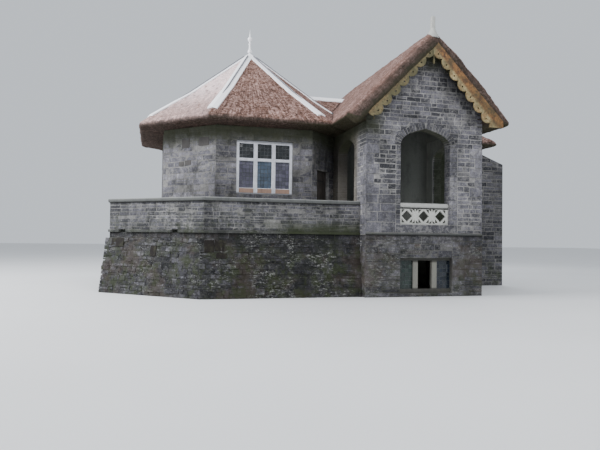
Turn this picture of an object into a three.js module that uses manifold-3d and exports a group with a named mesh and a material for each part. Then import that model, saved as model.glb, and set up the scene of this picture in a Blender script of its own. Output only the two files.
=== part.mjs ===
// Thatched garden cottage: an eight-sided pavilion and a gabled porch on a raised stone terrace.
// Millimetres, +X along the front to the right, +Y to the back, +Z up.
// While it is drawn, the front left corner of the porch wall is at x = 0, y = 0, and the ground is at z = 0.

import * as THREE from 'three';
import { ConvexGeometry } from 'three/addons/geometries/ConvexGeometry.js';
import { mergeVertices } from 'three/addons/utils/BufferGeometryUtils.js';
import Module from 'manifold-3d';

const wasm = await Module();
wasm.setup();

const GAP = 0.3; // between pieces that touch
const SLOPE_GAP = 0.6; // the same, measured straight up under a slope
const REACH = 400; // how far a cutting block runs past the piece it cuts
const FAR = 12000; // past every face of the cottage
const CURVE_STEPS = 8; // straight pieces in each curve of an arch

// Levels
const FLOOR_TOP = 1790;
const FLOOR_DEPTH = 170;
const FLOOR_BASE = FLOOR_TOP - FLOOR_DEPTH;
const WALL_TOP = 5050;
const SOFFIT = 5060;

// Porch walls
const PORCH_WIDTH = 3740;
const PORCH_CENTRE = PORCH_WIDTH / 2;
const PORCH_WALL = 320;
const PORCH_BACK = 3220; // outer face of its back wall
const PLINTH_TOP = 1780;
const PLINTH_PROUD = 30;
const STRING_TOP = 1850;
const STRING_PROUD = 45;

// Front arch, with its balustrade on the sill
const ARCH_HALF = 797;
const ARCH_SILL = 2100;
const ARCH_SPRING = 4400;
const ARCH_RISE = 520;
const HAUNCH_RISE = 0.62; // part of the rise where the curve leaves the jamb's line
const CROWN_HALF = 0.5; // part of the half width and of the rise where it bends to the apex
const CROWN_RISE = 0.8;
const PANEL_TOP = 2600;
const PANEL_FRONT = 90;
const PANEL_THICK = 70;
const RAIL_TOP = 2735;
const RAIL_FRONT = 60;
const RAIL_DEPTH = 130;
const RAIL_UNDERCUT = 20;
const RAIL_FLARE = 40; // height of the rail's sloping underside
const RAIL_CHAMFER = 35;
const DIAMOND_HALF = 175;
const DIAMOND_PITCH = 540;
const PIERCING_EDGE = 38; // from the panel's edge to a small piercing
const PIERCING_SIZE = 95; // its width and its height
const PIERCING_STEM = 16; // half of the bar between two of them

// Side arches of the porch
const SIDE_ARCH_Y = 1700;
const SIDE_ARCH_HALF = 760;
const SIDE_ARCH_SPRING = 4360;
const SIDE_ARCH_RISE = 420;

// Basement window under the front arch: three lights, the middle one open
const CELLAR_LEFT = 1073;
const CELLAR_RIGHT = 2745;
const CELLAR_SILL = 100;
const CELLAR_GLASS_BASE = 220;
const CELLAR_GLASS_TOP = 1050;
const CELLAR_HEAD = 1120;
const CELLAR_MULLION = 160;
const CELLAR_LIGHT = (CELLAR_RIGHT - CELLAR_LEFT - 2 * CELLAR_MULLION) / 3;
const CELLAR_FRAME_Y = 60;
const CELLAR_FRAME_DEPTH = 140;
const CELLAR_FLOOR = 80;

// Pavilion: a square plan with its corners cut off
const PAV_LEFT = -4060; // ends of its front wall
const PAV_RIGHT = -1040;
const PAV_FRONT = 1940;
const PAV_CANT = 1500; // each cut corner, along x and along y
const PAV_SIDE = 3400;
const PAV_WALL = 400;

// Pavilion window: three lights in two rows
const WINDOW_HALF = 880;
const WINDOW_BASE = 2990;
const WINDOW_SILL = 190;
const WINDOW_TOP = 4640;
const WINDOW_JAMB = 90;
const WINDOW_MULLION = 120;
const WINDOW_HEAD = 100;
const TRANSOM_MIDDLE = 4050;
const TRANSOM_HEIGHT = 90;
const FRAME_SET_BACK = 40;
const FRAME_DEPTH = 160;
const GLASS_THICK = 12;

// Door in the recess between pavilion and porch
const DOOR_HALF = 410;
const DOOR_HEIGHT = 2050;
const DOOR_THICK = 50;
const DOOR_SET_BACK = 120;

// Terrace: corners of its parapet's outer face, from the porch round to the back of the pavilion
const TERRACE_PATH = [[-GAP, 440], [-4507, 440], [-7088, 2650], [-7088, 6840], [-5560 - GAP, 6840]];
const TERRACE_WALL = 550;
const TERRACE_BATTER = 270; // how far the foot stands out
const PARAPET_THICK = 300;
const PARAPET_TOP = 2660;
const TERRACE_STRING_BASE = 1780;
const COPING_HEIGHT = 100;
const COPING_PROUD = 60;

// Pavilion thatch
const PAV_EAVE = 740; // overhang
const PAV_EAVE_TOP = 5230;
const PAV_APEX = 8365;
const PAV_SAG_AT = 0.42; // part of the way up the slope
const PAV_SAG = 90;
const THATCH_DROP = 440; // thatch thickness, measured straight down
const BEARING = 160; // how much of a wall's top carries the thatch
const TIP = 0.001; // part of the plan that is left at the very top

// Porch thatch, which runs back over the room behind the porch
const GABLE_RIDGE = 7740;
const GABLE_EAVE = 640;
const GABLE_VERGE = 430; // overhang in front of the gable
const GABLE_PITCH = 1; // rise for each unit of width
const GABLE_DROP = 380;
const EAVE_ROLL = 50;

// Back room behind the porch, and the outshot on its right with a lower thatch
const BACK_ROOM_BACK = 8340;
const BACK_EAVE = 500;
const GABLE_BACK = BACK_ROOM_BACK + BACK_EAVE;
const GABLE_RIDGE_END = GABLE_BACK - PORCH_CENTRE - GABLE_EAVE;
const REAR_WALL = 320;
const OUTSHOT_RIGHT = 5600;
const OUTSHOT_FRONT = 3200;
const OUTSHOT_BACK = 6840;
const OUTSHOT_EAVE = 500;
const OUTSHOT_RIDGE = 6920;

// Yard wall beside the outshot, with a raked top
const YARD_WALL_END = 6700;
const YARD_WALL_TOP = 4900;
const YARD_WALL_END_TOP = 4480;

// Lead on hips and ridges
const LEAD = 28;
const LEAD_LIFT = 0.5;
const HIP_LEAD_WIDTH = 310;
const HIP_LEAD_END = 0.92; // part of the plan distance from the apex to the eave corner
const RIDGE_LEAD_WIDTH = 460;
const APEX_LEAD = 430;

// Pavilion finial, as the radius and height of each ring of its collar, stem, ball and spike
const FINIAL_RINGS = [
  [0, 0], [60, 0], [78, 25], [70, 90], [38, 150], [30, 260], [48, 330], [30, 350], [26, 415],
  [62, 450], [82, 505], [62, 560], [26, 595], [20, 640], [30, 665], [12, 690], [0, 860],
];
const FINIAL_SIDES = 12;

// Bargeboards: a straight upper edge and a row of lobes below
const BOARD_THICK = 40;
const BOARD_RAISE = 110; // how far the board covers the cut edge of the thatch
const BOARD_DROP = 295; // from its upper edge down to where the lobes start
const BOARD_SPREAD = 0.12; // how much faster its lower edge falls
const BOARD_FOOT = 5000;
const BOARD_LOBES = 8;
const LOBE_PITCH = 262; // across the gable
const LOBE_RADIUS = 205;
const LOBE_STEPS = 8;
const LOBE_SINK = 75; // how far a lobe's centre lies above the lower edge
const LEFT_BOARD_END = 2030; // from the middle of the gable
const RIGHT_BOARD_END = 2280;

// Gable post
const POST_HALF = 54;
const POST_HEIGHT = 400;
const POST_SHOULDER = 344; // height where its head begins
const POST_NECK = 376; // height where the head steps in
const POST_NECK_HALF = 34;
const POST_TIP_HALF = 1;

const finish = {
  rubble: new THREE.MeshStandardMaterial({ color: 0x77757a, roughness: 0.95, metalness: 0 }),
  darkRubble: new THREE.MeshStandardMaterial({ color: 0x4c4844, roughness: 0.97, metalness: 0 }),
  dressed: new THREE.MeshStandardMaterial({ color: 0xb9b3a8, roughness: 0.85, metalness: 0 }),
  plaster: new THREE.MeshStandardMaterial({ color: 0x8b8c86, roughness: 0.9, metalness: 0 }),
  paving: new THREE.MeshStandardMaterial({ color: 0x7d7a72, roughness: 0.9, metalness: 0 }),
  thatch: new THREE.MeshStandardMaterial({ color: 0x8a6656, roughness: 1, metalness: 0 }),
  lead: new THREE.MeshStandardMaterial({ color: 0xd6d6da, roughness: 0.5, metalness: 0.1 }),
  cream: new THREE.MeshStandardMaterial({ color: 0xe9e4d4, roughness: 0.6, metalness: 0 }),
  ochre: new THREE.MeshStandardMaterial({ color: 0xb98a45, roughness: 0.8, metalness: 0 }),
  glass: new THREE.MeshStandardMaterial({ color: 0x4d5a6b, roughness: 0.2, metalness: 0 }),
  oak: new THREE.MeshStandardMaterial({ color: 0x4a3829, roughness: 0.8, metalness: 0 }),
};

const cottage = new THREE.Group();

// Solids from meshes, and meshes from solids

function toSolid(geometry) {
  const bare = geometry.index ? geometry.clone() : geometry;
  bare.deleteAttribute('normal');
  bare.deleteAttribute('uv');
  const merged = mergeVertices(bare, 1e-3);
  return new wasm.Manifold(new wasm.Mesh({
    numProp: 3,
    vertProperties: Float32Array.from(merged.attributes.position.array),
    triVerts: Uint32Array.from(merged.index.array),
  }));
}

function toGeometry(solid) {
  const mesh = solid.getMesh();
  const geometry = new THREE.BufferGeometry();
  geometry.setAttribute('position', new THREE.BufferAttribute(mesh.vertProperties, 3));
  geometry.setIndex(new THREE.BufferAttribute(mesh.triVerts, 1));
  return geometry;
}

function cut(solid, ...cutters) {
  return cutters.reduce((rest, cutter) => rest.subtract(cutter), solid);
}

// The largest body of a cut solid, so that no crumb is left beside it
function largest(solid) {
  const bodies = solid.decompose();
  return bodies.reduce((best, body) => (body.volume() > best.volume() ? body : best));
}

function add(name, solid, material) {
  const mesh = new THREE.Mesh(toGeometry(solid), material);
  mesh.name = name;
  cottage.add(mesh);
}

// Basic forms

function shapeOf(points) {
  return new THREE.Shape(points.map(([u, v]) => new THREE.Vector2(u, v)));
}

// A plan outline raised from one level to another
function prism(plan, base, top) {
  const geometry = new THREE.ExtrudeGeometry(shapeOf(plan), { depth: top - base, bevelEnabled: false });
  geometry.translate(0, 0, base);
  return toSolid(geometry);
}

function block(x0, x1, y0, y1, z0, z1) {
  return prism([[x0, y0], [x1, y0], [x1, y1], [x0, y1]], z0, z1);
}

// An upright shape of (along, height) points, as thick as depth. It stands on the line through
// origin in the direction of turn, and its thickness runs to the left of that line.
function upright(shape, origin, turn, depth) {
  const options = { depth, bevelEnabled: false, curveSegments: CURVE_STEPS };
  const geometry = new THREE.ExtrudeGeometry(shape, options);
  const along = new THREE.Vector3(Math.cos(turn), Math.sin(turn), 0);
  const inward = new THREE.Vector3(-Math.sin(turn), Math.cos(turn), 0);
  const up = new THREE.Vector3(0, 0, 1);
  // (along, up, -inward) is right-handed, so the extrusion is laid from the far face to the near one
  geometry.translate(0, 0, -depth);
  geometry.applyMatrix4(new THREE.Matrix4().makeBasis(along, up, inward.clone().negate()));
  geometry.translate(origin[0], origin[1], 0);
  return toSolid(geometry);
}

// Rings of the same number of points, joined one above the other and closed at both ends
function loft(rings) {
  const count = rings[0].length;
  const faces = [];
  const flat = rings[0].map(([x, y]) => new THREE.Vector2(x, y));
  const last = (rings.length - 1) * count;
  for (const [a, b, c] of THREE.ShapeUtils.triangulateShape(flat, [])) {
    faces.push(a, c, b, last + a, last + b, last + c);
  }
  for (let ring = 0; ring < rings.length - 1; ring += 1) {
    for (let i = 0; i < count; i += 1) {
      const a = ring * count + i;
      const b = ring * count + ((i + 1) % count);
      faces.push(a, b, b + count, a, b + count, a + count);
    }
  }
  const geometry = new THREE.BufferGeometry();
  geometry.setAttribute('position', new THREE.Float32BufferAttribute(rings.flat(2), 3));
  geometry.setIndex(faces);
  return toSolid(geometry);
}

function hull(points) {
  return toSolid(new ConvexGeometry(points.map((p) => new THREE.Vector3(...p))));
}

// Outline of an opening with a flat sill, upright jambs and a four-centred arch
function archShape(middle, half, base, spring, rise) {
  const haunch = spring + rise * HAUNCH_RISE;
  const crown = spring + rise * CROWN_RISE;
  const inward = half * CROWN_HALF;
  const shape = new THREE.Shape();
  shape.moveTo(middle - half, base);
  shape.lineTo(middle + half, base);
  shape.lineTo(middle + half, spring);
  shape.bezierCurveTo(middle + half, haunch, middle + inward, crown, middle, spring + rise);
  shape.bezierCurveTo(middle - inward, crown, middle - half, haunch, middle - half, spring);
  shape.closePath();
  return shape;
}

// Plan paths

// Points of a path moved to its left, with mitred corners. Where closed, the ends meet as well.
function offsetPath(path, distance, closed) {
  const count = path.length;
  const point = path.map(([x, y]) => new THREE.Vector2(x, y));
  const normalAfter = (i) => {
    const way = point[(i + 1) % count].clone().sub(point[i]).normalize();
    return new THREE.Vector2(-way.y, way.x);
  };
  return point.map((p, i) => {
    const before = closed || i > 0 ? normalAfter((i + count - 1) % count) : normalAfter(i);
    const after = closed || i < count - 1 ? normalAfter(i) : before;
    const mitre = before.clone().add(after).normalize();
    return p.clone().addScaledVector(mitre, distance / mitre.dot(before)).toArray();
  });
}

// The plan of a wall along some runs of a path, between two offsets, with a hair left at both ends.
// It goes anticlockwise where the far offset is on the right of the path.
function runPlan(path, firstRun, lastRun, closed, near, far) {
  const nearSide = offsetPath(path, near, closed);
  const farSide = offsetPath(path, far, closed);
  const count = path.length;
  const stops = [];
  for (let i = firstRun; i <= lastRun + 1; i += 1) {
    stops.push(i % count);
  }
  const pull = (side, from, to) => {
    const way = new THREE.Vector2(side[to][0] - side[from][0], side[to][1] - side[from][1])
      .normalize().multiplyScalar(GAP / 2);
    return [side[from][0] + way.x, side[from][1] + way.y];
  };
  const line = (side) => {
    const points = stops.map((stop) => side[stop]);
    const end = stops.length - 1;
    points[0] = pull(side, stops[0], stops[1]);
    points[end] = pull(side, stops[end], stops[end - 1]);
    return points;
  };
  return [...line(farSide), ...line(nearSide).reverse()];
}

function atLevel(plan, z) {
  return plan.map(([x, y]) => [x, y, z]);
}

// Pavilion plan, anticlockwise from the front left corner, so that left of the path is inside
const pavilionPath = (() => {
  const back = PAV_FRONT + 2 * PAV_CANT + PAV_SIDE;
  return [
    [PAV_LEFT, PAV_FRONT], [PAV_RIGHT, PAV_FRONT],
    [PAV_RIGHT + PAV_CANT, PAV_FRONT + PAV_CANT], [PAV_RIGHT + PAV_CANT, back - PAV_CANT],
    [PAV_RIGHT, back], [PAV_LEFT, back],
    [PAV_LEFT - PAV_CANT, back - PAV_CANT], [PAV_LEFT - PAV_CANT, PAV_FRONT + PAV_CANT],
  ];
})();
const pavilionCentre = [(PAV_LEFT + PAV_RIGHT) / 2, PAV_FRONT + PAV_CANT + PAV_SIDE / 2];
// Each wall's name, with its first and last run of the path
const PAV_WALLS = [
  ['front', 0, 0], ['front_right', 1, 1], ['right', 2, 2], ['back', 3, 6], ['front_left', 7, 7],
];

// A plan drawn in towards the middle of the pavilion: 1 leaves it as it is, 0 is the middle itself
function towardsMiddle(plan, part) {
  const [middleX, middleY] = pavilionCentre;
  return plan.map(([x, y]) => [middleX + (x - middleX) * part, middleY + (y - middleY) * part]);
}

// Outer form of the pavilion's thatch, all of its faces moved out by grow
function pavilionRoof(grow) {
  const rim = offsetPath(pavilionPath, -(PAV_EAVE + grow), true);
  const lip = offsetPath(pavilionPath, -(PAV_EAVE + EAVE_ROLL + grow), true);
  const waistZ = PAV_EAVE_TOP + (PAV_APEX - PAV_EAVE_TOP) * PAV_SAG_AT - PAV_SAG + grow;
  return loft([
    atLevel(rim, SOFFIT - grow),
    atLevel(lip, SOFFIT + EAVE_ROLL),
    atLevel(rim, PAV_EAVE_TOP + grow),
    atLevel(towardsMiddle(rim, 1 - PAV_SAG_AT), waistZ),
    atLevel(towardsMiddle(rim, TIP), PAV_APEX + grow),
  ]);
}

// The space under it, down past the wall tops
function pavilionHollow() {
  const plan = offsetPath(pavilionPath, BEARING, true);
  const slope = (PAV_APEX - PAV_EAVE_TOP) / (PAV_EAVE + PAV_CANT + PAV_SIDE / 2);
  const shoulder = PAV_EAVE_TOP + (PAV_EAVE + BEARING) * slope - THATCH_DROP;
  return loft([
    atLevel(plan, SOFFIT - REACH),
    atLevel(plan, shoulder),
    atLevel(towardsMiddle(plan, TIP), PAV_APEX - THATCH_DROP - PAV_SAG),
  ]);
}

// Outer form of the porch's thatch: a gable in front, a hip at the back
function gableRoof(grow) {
  const left = -GABLE_EAVE - grow;
  const right = PORCH_WIDTH + GABLE_EAVE + grow;
  const front = -GABLE_VERGE - grow;
  const back = GABLE_BACK + grow;
  const eaveTop = GABLE_RIDGE - (PORCH_CENTRE + GABLE_EAVE) * GABLE_PITCH + grow;
  const roll = SOFFIT + EAVE_ROLL;
  const points = [];
  for (const x of [left, right]) {
    points.push([x, front, SOFFIT - grow], [x, back, SOFFIT - grow]);
    points.push([x, front, eaveTop], [x, back, eaveTop], [x, back + EAVE_ROLL, roll]);
  }
  for (const x of [left - EAVE_ROLL, right + EAVE_ROLL]) {
    points.push([x, front, roll], [x, back, roll]);
  }
  points.push([PORCH_CENTRE, front, GABLE_RIDGE + grow]);
  points.push([PORCH_CENTRE, GABLE_RIDGE_END, GABLE_RIDGE + grow]);
  return hull(points);
}

// Height of the porch thatch's underside over a place across the gable
function gableUnder(x) {
  return GABLE_RIDGE - GABLE_DROP - Math.abs(x - PORCH_CENTRE) * GABLE_PITCH;
}

// The space under it, from the gable wall to the hip
function gableHollow(front) {
  const back = BACK_ROOM_BACK - BEARING;
  const side = gableUnder(BEARING);
  const backTop = GABLE_RIDGE - GABLE_DROP - (back - GABLE_RIDGE_END) * GABLE_PITCH;
  const sideEnd = back - (side - backTop) / GABLE_PITCH;
  const points = [];
  for (const x of [BEARING, PORCH_WIDTH - BEARING]) {
    points.push([x, front, SOFFIT - REACH], [x, front, side], [x, sideEnd, side]);
    points.push([x, back, SOFFIT - REACH], [x, back, backTop]);
  }
  points.push([PORCH_CENTRE, front, gableUnder(PORCH_CENTRE)]);
  points.push([PORCH_CENTRE, GABLE_RIDGE_END, gableUnder(PORCH_CENTRE)]);
  return hull(points);
}

// The space under the verge, in front of the gable wall
function vergeHollow() {
  const points = [];
  const half = (gableUnder(PORCH_CENTRE) - SOFFIT + REACH) / GABLE_PITCH;
  for (const y of [-GABLE_VERGE - REACH, 0]) {
    for (const x of [PORCH_CENTRE - half, PORCH_CENTRE + half]) {
      points.push([x, y, SOFFIT - REACH]);
    }
    points.push([PORCH_CENTRE, y, gableUnder(PORCH_CENTRE)]);
  }
  return hull(points);
}

// Outer form of the low thatch that joins the pavilion and the outshot
function crossRoof(grow) {
  const left = pavilionCentre[0];
  const right = OUTSHOT_RIGHT + OUTSHOT_EAVE + grow;
  const front = OUTSHOT_FRONT - OUTSHOT_EAVE - grow;
  const back = OUTSHOT_BACK + OUTSHOT_EAVE + grow;
  const middle = (front + back) / 2;
  const lip = SOFFIT + EAVE_ROLL;
  const points = [];
  for (const x of [left, right]) {
    for (const y of [front, back]) {
      points.push([x, y, SOFFIT - grow], [x, y, PAV_EAVE_TOP + grow]);
    }
    points.push([x, front - EAVE_ROLL, lip], [x, back + EAVE_ROLL, lip]);
  }
  points.push([right + EAVE_ROLL, front, lip], [right + EAVE_ROLL, back, lip]);
  points.push([left, middle, OUTSHOT_RIDGE + grow]);
  points.push([right - (back - front) / 2, middle, OUTSHOT_RIDGE + grow]);
  return hull(points);
}

function crossHollow() {
  const left = PAV_RIGHT + PAV_CANT;
  const right = OUTSHOT_RIGHT - BEARING;
  const front = OUTSHOT_FRONT + BEARING;
  const back = OUTSHOT_BACK - BEARING;
  const slope = (OUTSHOT_RIDGE - PAV_EAVE_TOP) / ((OUTSHOT_BACK - OUTSHOT_FRONT) / 2 + OUTSHOT_EAVE);
  const shoulder = PAV_EAVE_TOP + (OUTSHOT_EAVE + BEARING) * slope - THATCH_DROP;
  const middle = (front + back) / 2;
  const points = [];
  for (const x of [left, right]) {
    for (const y of [front, back]) {
      points.push([x, y, SOFFIT - REACH], [x, y, shoulder]);
    }
  }
  points.push([left, middle, OUTSHOT_RIDGE - THATCH_DROP]);
  points.push([right - (back - front) / 2, middle, OUTSHOT_RIDGE - THATCH_DROP]);
  return hull(points);
}

// Pavilion walls, window, door and floor

function addPavilion() {
  const centre = pavilionCentre[0];
  const windowHole = block(
    centre - WINDOW_HALF, centre + WINDOW_HALF,
    PAV_FRONT - REACH, PAV_FRONT + PAV_WALL + REACH, WINDOW_BASE, WINDOW_TOP);
  const porchBlock = block(-GAP, PORCH_WIDTH, 0, PORCH_BACK + GAP, -REACH, WALL_TOP + REACH);
  for (const [name, firstRun, lastRun] of PAV_WALLS) {
    let wall = prism(runPlan(pavilionPath, firstRun, lastRun, true, PAV_WALL, 0), 0, WALL_TOP);
    if (name === 'front') {
      wall = cut(wall, windowHole);
    }
    if (name === 'front_right') {
      wall = cut(wall, porchBlock, doorSolid(GAP, -REACH, PAV_WALL + REACH));
    }
    add(`pavilion_${name}_wall`, wall, finish.rubble);
  }
  const floorPlan = offsetPath(pavilionPath, PAV_WALL + GAP, true);
  add('pavilion_floor', cut(prism(floorPlan, FLOOR_BASE, FLOOR_TOP), porchBlock), finish.paving);
  add('terrace_door', doorSolid(0, DOOR_SET_BACK, DOOR_SET_BACK + DOOR_THICK), finish.oak);
  addPavilionWindow(centre);
}

// The doorway's form in the wall half way between the pavilion's front and the porch,
// from one depth to another behind the wall's face
function doorSolid(grow, near, far) {
  const turn = Math.PI / 4;
  const middle = -PAV_RIGHT / Math.cos(turn) / 2;
  const shape = shapeOf([
    [middle - DOOR_HALF - grow, FLOOR_TOP + GAP - grow], [middle + DOOR_HALF + grow, FLOOR_TOP + GAP - grow],
    [middle + DOOR_HALF + grow, FLOOR_TOP + DOOR_HEIGHT + grow],
    [middle - DOOR_HALF - grow, FLOOR_TOP + DOOR_HEIGHT + grow],
  ]);
  const [x, y] = pavilionPath[1];
  return upright(shape, [x - near * Math.sin(turn), y + near * Math.cos(turn)], turn, far - near);
}

function addPavilionWindow(centre) {
  const half = WINDOW_HALF - GAP;
  const face = PAV_FRONT + FRAME_SET_BACK;
  const light = (2 * (WINDOW_HALF - WINDOW_JAMB) - 2 * WINDOW_MULLION) / 3;
  const rows = [
    [WINDOW_BASE + WINDOW_SILL, TRANSOM_MIDDLE - TRANSOM_HEIGHT / 2],
    [TRANSOM_MIDDLE + TRANSOM_HEIGHT / 2, WINDOW_TOP - WINDOW_HEAD],
  ];
  const lights = [];
  for (const [base, top] of rows) {
    for (let column = 0; column < 3; column += 1) {
      const left = centre - WINDOW_HALF + WINDOW_JAMB + column * (light + WINDOW_MULLION);
      lights.push(block(left, left + light, face - REACH, face + REACH, base, top));
    }
  }
  const solid = block(centre - half, centre + half, face, face + FRAME_DEPTH,
    WINDOW_BASE + GAP, WINDOW_TOP - GAP);
  add('pavilion_window_frame', cut(solid, ...lights), finish.dressed);
  const glassY = face + FRAME_DEPTH + GAP;
  add('pavilion_window_glass',
    block(centre - half, centre + half, glassY, glassY + GLASS_THICK, WINDOW_BASE + GAP, WINDOW_TOP - GAP),
    finish.glass);
}

// Terrace walls, parapets, copings and floor

function addTerrace() {
  const pavilionBlock = prism(offsetPath(pavilionPath, -GAP, true), -REACH, PAV_APEX);
  // Each part's name, with its first and last run of the path. The outside is on the path's left.
  const parts = [['front', 0, 0], ['cant', 1, 1], ['side', 2, 3]];
  for (const [name, firstRun, lastRun] of parts) {
    const plan = (inner, outer) => runPlan(TERRACE_PATH, firstRun, lastRun, false, outer, -inner);
    const wall = loft([
      atLevel(plan(TERRACE_WALL, TERRACE_BATTER), 0),
      atLevel(plan(TERRACE_WALL, 0), FLOOR_BASE),
    ]);
    add(`terrace_${name}_wall`, largest(cut(wall, pavilionBlock)), finish.darkRubble);
    const upper = prism(plan(PARAPET_THICK, 0), FLOOR_BASE + GAP, PARAPET_TOP);
    const string = prism(plan(PARAPET_THICK / 2, STRING_PROUD), TERRACE_STRING_BASE, STRING_TOP);
    add(`terrace_${name}_parapet`, largest(cut(upper.add(string), pavilionBlock)), finish.rubble);
  }
  const cope = prism(
    runPlan(TERRACE_PATH, 0, 3, false, COPING_PROUD, -PARAPET_THICK - COPING_PROUD),
    PARAPET_TOP + GAP, PARAPET_TOP + COPING_HEIGHT);
  add('terrace_coping', largest(cut(cope, pavilionBlock)), finish.dressed);

  const inner = offsetPath(TERRACE_PATH, -PARAPET_THICK - GAP, false);
  const plan = [...inner, pavilionCentre, [-2 * GAP, PORCH_BACK]].reverse();
  const floor = prism(plan, FLOOR_BASE + GAP, FLOOR_TOP);
  add('terrace_floor', largest(cut(floor, pavilionBlock)), finish.paving);
}

// Porch walls with their arches

function addPorch() {
  const wallHead = (x) => gableUnder(x) - SLOPE_GAP;
  const inset = BEARING + GAP;
  const front = shapeOf([
    [0, PLINTH_TOP + GAP], [PORCH_WIDTH, PLINTH_TOP + GAP], [PORCH_WIDTH, WALL_TOP],
    [PORCH_WIDTH - inset, WALL_TOP], [PORCH_WIDTH - inset, wallHead(PORCH_WIDTH - inset)],
    [PORCH_CENTRE, wallHead(PORCH_CENTRE)], [inset, wallHead(inset)], [inset, WALL_TOP], [0, WALL_TOP],
  ]);
  const archHole = upright(
    archShape(PORCH_CENTRE, ARCH_HALF, ARCH_SILL, ARCH_SPRING, ARCH_RISE),
    [0, -REACH], 0, PORCH_WALL + 2 * REACH);
  add('porch_gable_wall', cut(upright(front, [0, 0], 0, PORCH_WALL), archHole), finish.rubble);

  const cellarHole = block(
    CELLAR_LEFT, CELLAR_RIGHT, -REACH, PORCH_WALL + REACH, CELLAR_SILL, CELLAR_HEAD);
  add('porch_plinth',
    cut(block(0, PORCH_WIDTH, -PLINTH_PROUD, PORCH_WALL, 0, PLINTH_TOP), cellarHole), finish.darkRubble);

  const stringShape = shapeOf([
    [-STRING_PROUD, PLINTH_TOP + GAP], [-GAP, PLINTH_TOP + GAP],
    [-GAP, STRING_TOP], [-STRING_PROUD / 2, STRING_TOP], [-STRING_PROUD, STRING_TOP - STRING_PROUD / 2],
  ]);
  add('porch_string_course', upright(stringShape, [PORCH_WIDTH, 0], Math.PI / 2, PORCH_WIDTH),
    finish.dressed);

  const sideHole = upright(
    archShape(SIDE_ARCH_Y, SIDE_ARCH_HALF, FLOOR_TOP, SIDE_ARCH_SPRING, SIDE_ARCH_RISE),
    [PORCH_WIDTH + REACH, 0], Math.PI / 2, PORCH_WIDTH + 2 * REACH);
  add('porch_left_wall',
    cut(block(0, PORCH_WALL, PORCH_WALL + GAP, PORCH_BACK, 0, WALL_TOP), sideHole), finish.rubble);
  add('porch_right_wall',
    cut(block(PORCH_WIDTH - PORCH_WALL, PORCH_WIDTH, PORCH_WALL + GAP, OUTSHOT_FRONT + REAR_WALL,
      0, WALL_TOP), sideHole), finish.rubble);

  const inner = PORCH_WALL + GAP;
  const backShape = shapeOf([
    [inner, 0], [PORCH_WIDTH - inner, 0], [PORCH_WIDTH - inner, wallHead(inner)],
    [PORCH_CENTRE, wallHead(PORCH_CENTRE)], [inner, wallHead(inner)],
  ]);
  add('porch_back_wall', upright(backShape, [0, PORCH_BACK - PORCH_WALL], 0, PORCH_WALL), finish.plaster);

  const roomBack = PORCH_BACK - PORCH_WALL - GAP;
  add('porch_floor',
    block(inner, PORCH_WIDTH - inner, inner, roomBack, FLOOR_BASE, FLOOR_TOP), finish.paving);
  add('basement_floor',
    block(inner, PORCH_WIDTH - inner, inner, roomBack, 0, CELLAR_FLOOR), finish.paving);

  addBalustrade();
  addCellarWindow();
}

// Pierced panel with three lozenges, and four small openings round each meeting of its bars
function addBalustrade() {
  const half = ARCH_HALF - GAP;
  const base = ARCH_SILL + GAP;
  const middle = (base + PANEL_TOP) / 2;
  const pierced = (points) => upright(shapeOf(points), [0, PANEL_FRONT - REACH], 0, 2 * REACH);
  const holes = [];
  for (const place of [-1, 0, 1]) {
    const x = PORCH_CENTRE + place * DIAMOND_PITCH;
    holes.push(pierced([
      [x - DIAMOND_HALF, middle], [x, middle - DIAMOND_HALF],
      [x + DIAMOND_HALF, middle], [x, middle + DIAMOND_HALF],
    ]));
  }
  const low = base + PIERCING_EDGE;
  const high = PANEL_TOP - PIERCING_EDGE;
  for (const place of [-0.5, 0.5]) {
    const x = PORCH_CENTRE + place * DIAMOND_PITCH;
    const left = x - PIERCING_STEM;
    const right = x + PIERCING_STEM;
    holes.push(pierced([[left, low], [left, low + PIERCING_SIZE], [left - PIERCING_SIZE, low]]));
    holes.push(pierced([[left, high], [left - PIERCING_SIZE, high], [left, high - PIERCING_SIZE]]));
    holes.push(pierced([[right, low], [right + PIERCING_SIZE, low], [right, low + PIERCING_SIZE]]));
    holes.push(pierced([[right, high], [right, high - PIERCING_SIZE], [right + PIERCING_SIZE, high]]));
  }
  const panel = block(PORCH_CENTRE - half, PORCH_CENTRE + half, PANEL_FRONT, PANEL_FRONT + PANEL_THICK,
    base, PANEL_TOP);
  add('balustrade_panel', cut(panel, ...holes), finish.cream);
  const railBack = RAIL_FRONT + RAIL_DEPTH;
  const rail = shapeOf([
    [RAIL_FRONT + RAIL_UNDERCUT, PANEL_TOP + GAP], [railBack - RAIL_UNDERCUT, PANEL_TOP + GAP],
    [railBack, PANEL_TOP + RAIL_FLARE], [railBack, RAIL_TOP - RAIL_CHAMFER],
    [railBack - RAIL_CHAMFER, RAIL_TOP], [RAIL_FRONT + RAIL_CHAMFER, RAIL_TOP],
    [RAIL_FRONT, RAIL_TOP - RAIL_CHAMFER], [RAIL_FRONT, PANEL_TOP + RAIL_FLARE],
  ]);
  add('balustrade_rail', upright(rail, [PORCH_CENTRE + half, 0], Math.PI / 2, 2 * half), finish.cream);
}

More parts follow.
